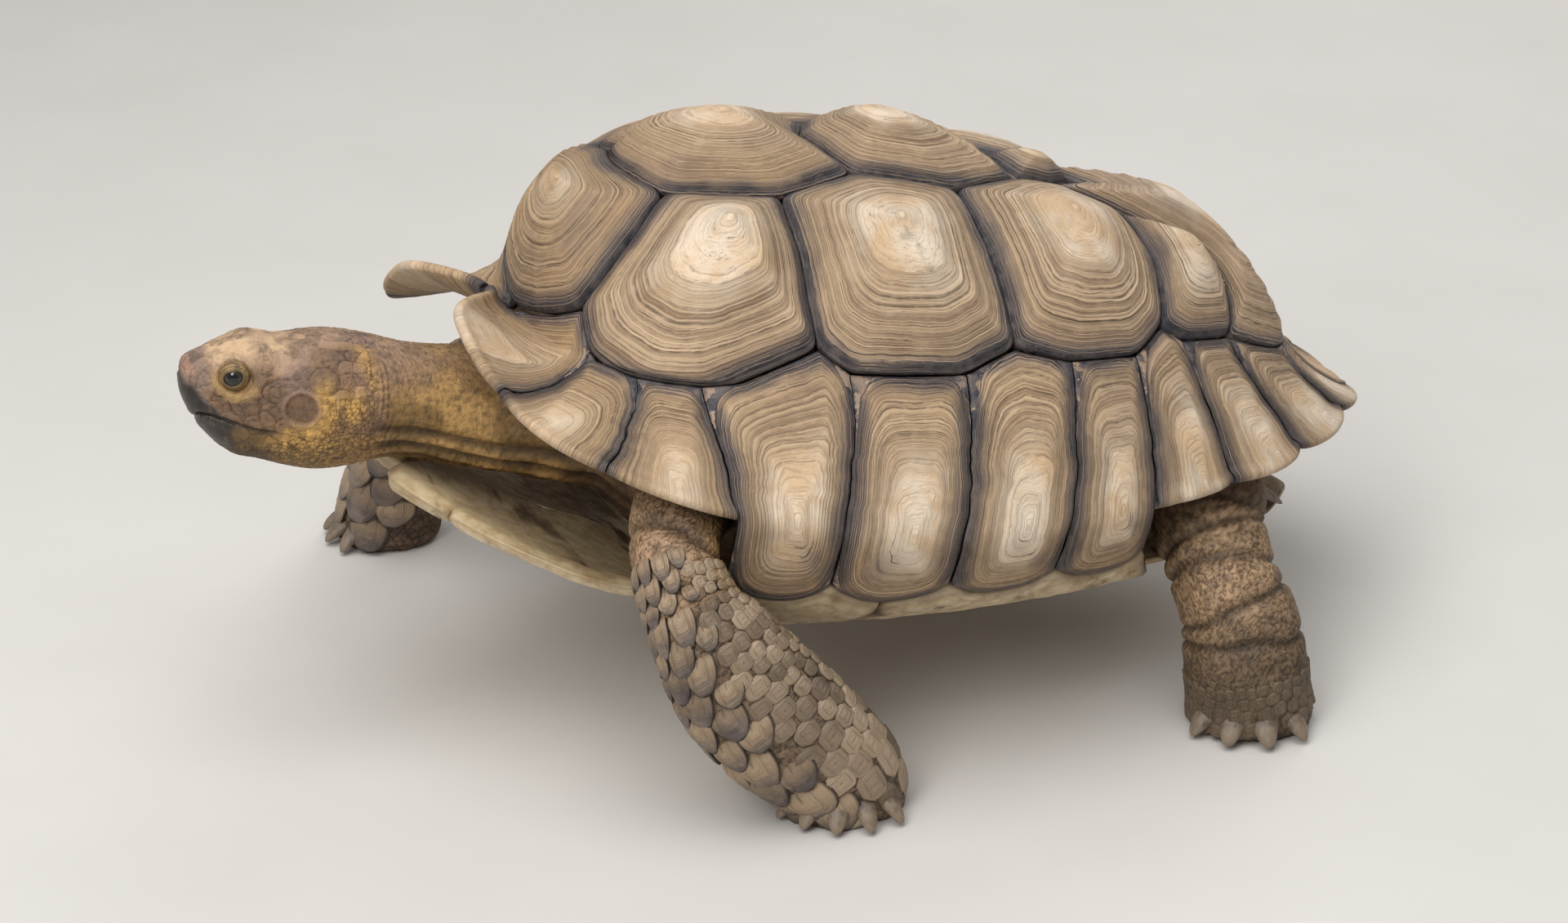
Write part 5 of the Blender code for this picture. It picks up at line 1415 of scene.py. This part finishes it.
def skin_material():
    """Scaly hide: the paint, varied from scale to scale, with painted shade in its furrows, slits and creases, dusty
    grain and fine wrinkles.
    """
    m = Nodes("tortoise skin", 0.62)
    paint = m.attribute("paint").outputs["Color"]
    gap, number, dark, _ = m.masks("scales")
    grain, mottle, patch = m.noise(1500, 4), m.noise(330, 5, 0.65), m.noise(70, 4)
    light = m.plus(m.times(number, 0.55), m.steps(mottle, 0.25, 0.75, 0.45, 1.0))
    deep, bright = m.tinted(paint, (0.45, 0.42, 0.40)), m.tinted(paint, (1.45, 1.40, 1.36))
    colour = m.blend(deep, bright, m.steps(light, 0.35, 1.35))
    dust = m.steps(m.plus(grain, m.times(gap, 0.12)), 0.72, 0.86, 0, 0.45)
    colour = m.blend(colour, (0.48, 0.42, 0.34), dust)
    # Painted shade: the colour is darkened in the furrow round each scale, where gap is low.
    colour = m.blend(m.tinted(colour, (0.34, 0.28, 0.20)), colour, m.steps(gap, 0.0, 0.75, 0.12, 1.0))
    # Painted shade: slits, folds and creases darkened nearly to black.
    colour = m.blend(colour, (0.020, 0.011, 0.005), m.times(dark, 0.80))
    m.relief((patch, 0.0008), (mottle, 0.0006), (m.wrinkles(620), 0.00035), (grain, 0.00016))
    return m.finish(colour, m.steps(mottle, 0.2, 0.8, 0.52, 0.74))


def make_skin(material):
    """The skin with its eyelids; returns its (points, faces) without them."""
    points, faces = flesh()
    normals = point_normals(points, faces)
    height, gap, number, dark = skin_relief(points)
    moved = points + normals * height[:, None]
    moved[:, 2] = np.where(moved[:, 2] < 0.0012, 0.0, moved[:, 2])
    verts, all_faces, paint = joined([(moved, faces, opaque(skin_paint(points))), eyelids(1), eyelids(-1)])
    scales = np.tile((1.0, 0.5, 0.0, 0.0), (len(verts), 1))
    scales[: len(moved), :3] = np.stack([gap, number, dark], -1)
    legs = [f"{end}_leg_{side}" for end in ("front", "hind") for side in ("left", "right")]
    add_mesh("skin", verts, all_faces, material, ("trunk", "neck", "head", "tail", *legs),
             {"paint": paint, "scales": scales})
    return moved, faces


# ---------------------------------------------------------------- eyes, beak, nails and scales


def eye_axes(side):
    """Centre of the eye and its outward, forward and upward directions in the head's frame."""
    out = unit(np.array([0.26, side * 1.0, 0.10]))
    ahead = unit(np.array([1.0, 0, -0.30]) - out * np.dot(out, (1.0, 0, -0.30)))
    return EYE_AT * (1, side, 1), out, ahead, np.cross(ahead, out) * np.sign(np.cross(ahead, out)[2])


def on_ball(side, radius, polar, turn):
    """Points round the eye, at an angle from where it looks and a turn round that, in the head's frame."""
    centre, out, ahead, up = eye_axes(side)
    c, s = np.sin(polar) * np.cos(turn), np.sin(polar) * np.sin(turn)
    return centre + np.asarray(radius)[..., None] * (np.cos(polar)[..., None] * out + c[..., None] * ahead
                                                     + s[..., None] * up)


# Rows of an eyelid from its edge outwards: (share of the way to the lid's outer edge, radius over the eye's)
LID_ROWS = ((0.0, 1.01), (0.0, 1.07), (0.05, 1.12), (0.14, 1.15), (0.24, 1.14), (0.30, 1.10), (0.36, 1.15),
            (0.46, 1.17), (0.53, 1.13), (0.60, 1.17), (0.72, 1.17), (0.85, 1.08), (1.0, 0.86))
# The fold rows are darkened as painted shade in the lid's folds.
LID_FOLDS = (5, 8)  # dark rows


def eyelids(side, around=72):
    """Upper and lower lid as (verts, faces, colours): a shell over the ball with an almond-shaped opening."""
    turn = np.linspace(0, 2 * math.pi, around, endpoint=False)
    c, s = np.cos(turn), np.sin(turn)
    opening = np.radians(1 / np.sqrt((c / 41) ** 2 + (s / np.where(s > 0, 27, 31)) ** 2))
    rows = []
    for reach, radius in LID_ROWS:
        polar = mix(opening, math.radians(94), reach)
        rows.append(on_ball(side, EYE_RADIUS * radius, polar, turn))
    grid = np.stack(rows)
    faces = tube_faces(len(grid), around)
    if side > 0:
        faces = [face[::-1] for face in faces]
    colour = np.tile((0.205, 0.138, 0.058, 1.0), (grid.size // 3, 1)).reshape(len(grid), around, 4)
    colour[..., :3] *= (1 + 0.35 * noise(grid, 0.0022, 5) + 0.25 * noise(grid, 0.0008, 6))[..., None]
    # Painted shade: the rows at the lid's edge against the eye are darkened, and the next two rows a little.
    colour[:2] *= (0.12, 0.12, 0.12, 1)
    colour[2:4] *= (0.62, 0.60, 0.60, 1)
    colour[4:6, (s < 0.3) & (c < 0.5)] *= (1.4, 1.35, 1.2, 1)
    # painted shade in the lid's folds
    colour[LID_FOLDS, :] *= (0.45, 0.42, 0.40, 1)
    return from_head(grid.reshape(-1, 3)), faces, colour.reshape(-1, 4)


def eye_material():
    """Wet black pupil in a dark brown iris with a darker rim."""
    m = Nodes("dark eye", 0.06)
    gaze = m.attribute("gaze").outputs["Fac"]
    fibres = m.noise(2600, 3)
    iris = m.blend((0.010, 0.008, 0.006), (0.052, 0.040, 0.028), m.steps(fibres, 0.35, 0.7))
    colour = m.blend((0.002, 0.002, 0.002), iris, m.steps(gaze, 0.34, 0.42))
    colour = m.blend(colour, (0.010, 0.008, 0.006), m.steps(gaze, 0.62, 0.72))
    m.surface.inputs["Coat Weight"].default_value = 0.25
    m.surface.inputs["Coat Roughness"].default_value = 0.03
    return m.finish(colour)


def make_eyes():
    material = eye_material()
    for side, word in ((1, "left"), (-1, "right")):
        turns = np.linspace(0, 2 * math.pi, 48, endpoint=False)
        polar, turn = np.meshgrid(np.radians(np.linspace(2, 176, 44)), turns, indexing="ij")
        swell = EYE_RADIUS * (1 + 0.035 * smooth(math.radians(38), math.radians(8), polar))
        verts, faces = capped(from_head(on_ball(side, swell, polar, turn)))
        gaze = np.concatenate([np.degrees(polar).ravel() / 60, [0, 3]])
        add_mesh(f"eye_{word}", verts, faces, material, (f"eye_{word}",), (), {"gaze": gaze})


def horn_material(name, dark, pale, rough):
    """Streaked horn of the nails and spurs; the tip mask runs from root to tip."""
    m = Nodes(name, rough)
    tip = m.attribute("tip").outputs["Fac"]
    streak, grain = m.noise(240, 4, 0.6, (1, 1, 0.35)), m.noise(1300, 4)
    colour = m.blend(dark, pale, m.steps(m.plus(streak, m.times(tip, 0.45)), 0.42, 0.95))
    colour = m.blend(colour, (0.30, 0.25, 0.20), m.steps(grain, 0.66, 0.80, 0, 0.5))
    m.relief((streak, 0.0005), (grain, 0.00015))
    return m.finish(colour, m.steps(streak, 0.2, 0.8, rough - 0.1, rough + 0.12))


def beak_material():
    """Charcoal horn that pales into the skin at its rear edge."""
    m = Nodes("beak horn", 0.42)
    tip, paint = m.attribute("tip").outputs["Fac"], m.attribute("paint").outputs["Color"]
    streak, grain = m.noise(260, 5, 0.6, (1, 1, 0.4)), m.noise(1300, 4)
    horn = m.blend((0.016, 0.011, 0.008), (0.085, 0.060, 0.043), m.steps(streak, 0.42, 0.78))
    horn = m.blend(horn, (0.22, 0.18, 0.14), m.steps(grain, 0.64, 0.80, 0, 0.4))
    edge = m.steps(m.plus(tip, m.times(streak, 0.60)), 0.45, 1.05)
    m.relief((streak, 0.0006), (grain, 0.00018))
    return m.finish(m.blend(paint, horn, edge), m.steps(edge, 0.0, 1.0, 0.62, 0.40))


def horn_patch(name, share, points, faces, normals, material):
    """A thin plate of horn over the part of the skin where share is above 0, sunk in it along its edge."""
    chosen = [f for f in faces if all(share[i] > 0 for i in f)]
    used = np.unique(np.concatenate(chosen))
    place = np.full(len(points), -1)
    place[used] = np.arange(len(used))
    outer = points[used] + normals[used] * mix(-0.0006, 0.0006, smooth(0.0, 0.55, share[used]))[:, None]
    inner = points[used] - normals[used] * 0.0016
    count, top = len(used), [tuple(place[list(f)]) for f in chosen]
    edges = {(f[k - 1], f[k]) for f in top for k in range(len(f))}
    walls = [(b, a, a + count, b + count) for a, b in edges if (b, a) not in edges]
    under = [tuple(i + count for i in reversed(f)) for f in top]
    verts = np.concatenate([outer, inner])
    add_mesh(name, verts, [tuple(map(int, f)) for f in top + under + walls], material, (name,),
             {"paint": opaque(skin_paint(verts))}, {"tip": np.tile(share[used], 2)})


def make_beak(points, faces):
    """Both halves of the beak: horn over the snout on either side of the mouth's slit."""
    material = beak_material()
    near = head_frame(points)[:, 0] > 0.066
    place = np.cumsum(near) - 1
    faces = [tuple(place[list(f)]) for f in faces if near[list(f)].all()]
    points = points[near]
    q = head_frame(points)
    normals = point_normals(points, faces)
    clear = np.clip((slit_distance(q[:, 0], q[:, 2]) - 0.0004) / 0.0006, 0, 1)
    for name, share in zip(("upper_beak", "lower_beak"), beak_share(q)):
        horn_patch(name, np.minimum(share, clear), points, faces, normals, material)


# Claws: how many, the direction the toes point in degrees from -X towards -Y, their fan, length and radius.
CLAWS = {
    "front_left": (5, 66, 104, 0.0125, 0.0078), "front_right": (5, -20, 104, 0.0125, 0.0078),
    "hind_left": (4, 66, 92, 0.0120, 0.0092), "hind_right": (4, -40, 92, 0.0120, 0.0092),
}
TOE_HEIGHT = 0.0125  # of a claw's root


def horn_cone(root, tip, radius, arch, blunt, around=28, rows=22, flat=0.72):
    """A blunt curved cone, as (verts, faces, how far along each point lies)."""
    root, tip = np.array(root, float), np.array(tip, float)
    axis = unit(tip - root)
    wide = unit(np.cross(axis, (0, 0, 1.0)))
    tall = np.cross(wide, axis)
    turns = np.linspace(0, 2 * math.pi, around, endpoint=False)
    t, turn = np.meshgrid(np.linspace(0, 1, rows), turns, indexing="ij")
    size = radius * np.sqrt(np.clip(1 - t ** 5, 0, 1)) * mix(1, blunt, t) + 0.00002
    size = size * (1 + 0.035 * np.sin(turn * 7 + t * 3) * (1 - t))
    middle = root + t[..., None] * (tip - root) + np.array([0, 0, arch]) * (1 - (2 * t - 1) ** 2)[..., None]
    grid = middle + (size * np.cos(turn))[..., None] * wide + (size * flat * np.sin(turn))[..., None] * tall
    return *capped(grid), np.concatenate([t.ravel(), [0, 1]])


def make_claws():
    """The nails of each foot and, on a hind leg, its spur."""
    nails = horn_material("nail horn", (0.060, 0.040, 0.027), (0.22, 0.165, 0.115), 0.45)
    for name, (count, aim, fan, length, radius) in CLAWS.items():
        (x, y), a, b = LEGS[name][1]
        parts = []
        for i in range(count):
            turn = math.radians(aim + fan * (i / (count - 1) - 0.5))
            heading = np.array([-math.cos(turn), -math.sin(turn), 0.0])
            root = np.array([x, y, TOE_HEIGHT]) + heading * (a, b, 0) * 0.78 + CENTRE
            size = radius * (1 - 0.16 * abs(i - (count - 1) / 2) / ((count - 1) / 2))
            tip = root + heading * (length + 0.004) + (0, 0, -TOE_HEIGHT + size * 0.40)
            parts.append(horn_cone(root, tip, size, 0.0022, 0.55))
        if name in SPURS:
            start, end = np.array(SPURS[name])
            parts.append(horn_cone(start + CENTRE, end + CENTRE, SPUR_RADIUS, 0.001, 0.4))
        verts, faces, tip = joined(parts)
        verts[:, 2] = np.maximum(verts[:, 2], 0)
        add_mesh(f"claws_{name}", verts, faces, nails, (), (), {"tip": tip})


def shield_material():
    """Horny shield scales: the skin's paint at the root, darkening to slate, with fine growth lines, and painted
    shade along their edges and under them.
    """
    m = Nodes("shield scales", 0.5)
    paint = m.attribute("paint").outputs["Color"]
    reach, rim, number, flat = m.masks("shield")
    mottle, grain, cloud = m.noise(300, 5, 0.6), m.noise(1300, 4), m.noise(70, 3)
    lines = m.noise(13.0, 2.0, 0.6, w=m.plus(rim, m.times(m.noise(110, 2), 0.12)))
    pale = m.blend(paint, (0.400, 0.285, 0.180), m.steps(number, 0.0, 1.0, 0.35, 0.85))
    pale_flat = m.blend(paint, (0.450, 0.335, 0.225), m.steps(number, 0.1, 0.9, 0.12, 0.90))
    tip = m.blend((0.075, 0.060, 0.056), (0.180, 0.138, 0.116), m.steps(cloud, 0.4, 0.65))
    shade = m.sum((reach, 1.0), (mottle, 0.45), (number, -0.25))
    colour = m.layers(
        m.blend(pale, pale_flat, flat),
        (tip, m.steps(shade, 0.42, 1.00, 0, 0.95)),
        ((0.085, 0.058, 0.040), m.steps(lines, 0.56, 0.70, 0, 0.60)),
        ((0.34, 0.29, 0.23), m.steps(grain, 0.64, 0.80, 0, 0.45)),
    )
    # Painted shade: near each scale's edge the colour darkens nearly to black, and the underside, whose rim mask is
    # 0, is black all over.
    colour = m.blend((0.026, 0.017, 0.010), colour, m.steps(rim, 0.02, 0.17))
    m.relief((lines, 0.0008), (mottle, 0.0005), (grain, 0.00018))
    return m.finish(colour, m.steps(mottle, 0.2, 0.8, 0.42, 0.62))


# Horny scales of each leg, in groups: (distance of the first row from the leg's start, and of the last from
# its end, angles round it in degrees, sizes of the first and last rows, whether they lie flat)
SHIELDS = {
    "front_left": ((0.106, 0.010, (92, 268), (0.0095, 0.0285), False),
                   (0.112, 0.012, (0, 96), (0.0062, 0.0150), True)),
    "front_right": ((0.086, 0.010, (-268, -92), (0.0095, 0.0260), False),
                    (0.096, 0.012, (-96, 0), (0.0062, 0.0145), True)),
    "hind_left": ((0.152, 0.006, (-40, 300), (0.0060, 0.0110), True),),
    "hind_right": ((0.140, 0.006, (-40, 300), (0.0060, 0.0110), True),),
}


LARGE_SHIELD = 0.0120  # above this size a scale has the finer mesh
# Of the unwrap: the width of a leg's strip, how far the strip is stretched, and the size of a scale's patch.
LEG_STRIP, UNWRAP_LENGTH, PATCH = 0.245, 3.4, 0.003


def shield_outline(x, y, size, flat):
    """(width, length, taper, height, rim) of a scale: x runs across it, -1 to 1, and y from root 0 to tip 1."""
    dome = 0.055 * size * (1 - x ** 2) * np.sin(math.pi * y ** 0.8)
    if flat:
        taper = np.clip(1.30 - 1.15 * np.abs(2 * y - 1) ** 1.6, 0.0, 1) ** 0.8
        rim = np.minimum(1 - np.abs(x), 1 - np.abs(2 * y - 1))
        rise = mix(-0.0014, 0.0005, smooth(0.0, 0.30, rim)) + 0.018 * size * y
        return size * 1.06, size * 1.12, taper, rise + 0.5 * dome, rim
    taper = np.clip(1 - (np.clip(y - 0.36, 0, 1) / 0.655) ** 1.9, 0.0, 1) ** 0.68
    rim = np.minimum(1 - np.abs(x), 1.4 * (1 - y))
    rise = mix(-0.0022, 0.0008, smooth(0.02, 0.40, y)) + 0.055 * size * y - 0.0005 * smooth(0.16, 0.0, rim)
    return size * 1.10, size * 1.22, taper * (0.86 + 0.14 * smooth(0, 0.3, y)), rise + dome, rim


def one_shield(limb, where, angle, size, seed, corner, flat, light):
    """One overlapping or flat scale, as (verts, faces, masks, unwrapped places)."""
    rows, columns = (21, 17) if size > LARGE_SHIELD else (13, 11)
    y, x = np.meshgrid(np.linspace(0, 1, rows), np.linspace(-1, 1, columns), indexing="ij")
    width, length, taper, height, rim = shield_outline(x, y, size, flat)
    girth = limb.girth(where)
    own, lean, shift = (scatter(np.array([seed]), turn) for turn in (5, 3, 4))
    lean = 0.16 * (lean - 0.5)
    across = angle + (x * taper * width / 2 + lean * y * length) / girth
    down = where + (y - 0.30) * length + 0.06 * size * (shift - 0.5)
    spread = np.stack([x, y], -1)
    rings = 0.00016 * np.cos(np.minimum(1 - np.abs(x), 1.4 * (1 - y)) * 24 + 1.2 * noise(spread, 0.5, seed + 1))
    out = height + rings + 0.0002 * noise(spread, 0.4, seed)
    thick = 0.0009 + 0.0008 * (1 - x ** 2)
    down = np.minimum(down, limb.length[-1] - 0.0005)
    top, under = limb.at(down, across, out), limb.at(down, across, out - thick)
    section = np.concatenate([top, under[::-1]]).reshape(-1, 3)
    masks = np.stack([y * (0.25 if flat else 1.0), rim, light * own + 0 * y, flat + 0 * y], -1)
    # The underside's rim mask is 0, so it is painted in dark shade.
    masks = np.concatenate([masks, masks[::-1] * (1, 0, 1, 1)]).reshape(-1, 4)
    place = np.stack([corner[0] + 0.22 * (angle % (2 * math.pi)) / (2 * math.pi) + PATCH / 2 * x,
                      corner[1] + UNWRAP_LENGTH * where + PATCH / 2 * (2 * y - 1)], -1)
    place = np.concatenate([place, place[::-1]]).reshape(-1, 2)
    return section, facing_out(section, strip_faces(2 * rows, columns)), masks, place


def leg_shields(limb, order, groups, corner, light):
    """All scales of a leg, in staggered rows."""
    parts, row = [], 0
    for start, stop, angles, sizes, flat in groups:
        low, high = np.radians(angles)
        where, last = start, limb.length[-1] - stop
        while where < last:
            size = mix(*sizes, ((where - start) / (last - start)) ** 0.9)
            count = max(2, int(round((high - low) * limb.girth(where) / size)))
            for k in range(count):
                jitter = scatter(np.array([[row, k, 1], [row, k, 2], [row, k, 3]]), order) - 0.5
                angle = mix(low, high, (k + 0.25 + 0.5 * (row % 2) + 0.22 * jitter[0]) / count)
                side = min(angle - low, high - angle) / (high - low)
                own = size * (1 if flat else 0.66 + 0.34 * smooth(0.0, 0.22, side)) * (1 + 0.22 * jitter[1])
                spot, seed = where + 0.22 * size * jitter[2], 100 * row + k + 7 * order
                parts.append(one_shield(limb, spot, angle, own, seed, corner, flat, light))
            where += size * (0.84 if flat else 0.74)
            row += 1
    return joined(parts)


def make_shields():
    material = shield_material()
    for order, (name, groups) in enumerate(SHIELDS.items()):
        corner, light = (0.01 + LEG_STRIP * order, 0.02), 1.0 if "front" in name else 0.3
        verts, faces, masks, places = leg_shields(LIMBS[name], order, groups, corner, light)
        verts[:, 2] = np.maximum(verts[:, 2], 0.0002)
        piece = add_mesh(f"shields_{name}", verts, faces, material, (),
                         {"shield": masks, "paint": opaque(skin_paint(verts))})
        layer = piece.data.uv_layers.new(name="OFBake")
        loops = np.empty(len(piece.data.loops), int)
        piece.data.loops.foreach_get("vertex_index", loops)
        layer.data.foreach_set("uv", places[loops].ravel())


# ---------------------------------------------------------------- floor, light and camera


# Lamps as (name, width, power, place)
LAMPS = (
    ("sky", 2.4, 46, (-0.5, -0.5, 2.3)),
    ("key", 1.1, 24, (-1.5, -1.6, 1.7)),
    ("back", 1.3, 12, (1.3, 1.4, 1.5)),
)
FLOOR_REACH = 20


def make_floor():
    corners = [(x * FLOOR_REACH, y * FLOOR_REACH, 0) for x, y in ((-1, -1), (1, -1), (1, 1), (-1, 1))]
    mesh = bpy.data.meshes.new("floor")
    mesh.from_pydata(corners, [], [(0, 1, 2, 3)])
    m = Nodes("pale floor", 0.75)
    mesh.materials.append(m.finish(m.blend((0.60, 0.575, 0.54), (0.66, 0.635, 0.60), m.noise(7, 3))))
    floor = bpy.data.objects.new("floor", mesh)
    bpy.context.scene.collection.objects.link(floor)


def make_light():
    """Soft lamps over and round the animal in an evenly grey room."""
    for name, size, power, place in LAMPS:
        light = bpy.data.lights.new(name, "AREA")
        light.shape, light.size, light.energy = "DISK", size, power
        lamp = bpy.data.objects.new(name, light)
        lamp.location = place
        aim = -np.array(place) + (0, 0, 0.1)
        lamp.rotation_euler = (math.atan2(math.hypot(aim[0], aim[1]), -aim[2]), 0, math.atan2(-aim[0], aim[1]))
        bpy.context.scene.collection.objects.link(lamp)
    world = bpy.data.worlds.new("soft grey room")
    world.use_nodes = True
    background = world.node_tree.nodes["Background"]
    background.inputs["Color"].default_value = (0.80, 0.80, 0.80, 1)
    background.inputs["Strength"].default_value = 0.42
    bpy.context.scene.world = world
    bpy.context.scene.view_settings.view_transform = "Standard"


def make_camera():
    camera = bpy.data.objects.new("camera", bpy.data.cameras.new("camera"))
    camera.data.sensor_width, camera.data.lens = 36.0, 84.29
    eye, target = np.array([-0.56033, -1.74019, 0.9526]), np.array([-0.00413, -0.01279, 0.11195])
    back = unit(eye - target)
    roll = math.radians(0.0766)
    right = unit(np.cross((0, 0, 1.0), back))
    up = np.cross(back, right)
    c, s = math.cos(roll), math.sin(roll)
    axes = np.eye(4)
    axes[:3] = np.column_stack([right * c + up * s, up * c - right * s, back, eye])
    camera.matrix_world = Matrix(axes.tolist())
    bpy.context.scene.collection.objects.link(camera)
    bpy.context.scene.camera = camera


make_carapace()
make_plastron(plastron_material())
skin_points, skin_faces = make_skin(skin_material())
make_eyes()
make_beak(skin_points, skin_faces)
make_claws()
make_shields()
make_floor()
make_light()
make_camera()
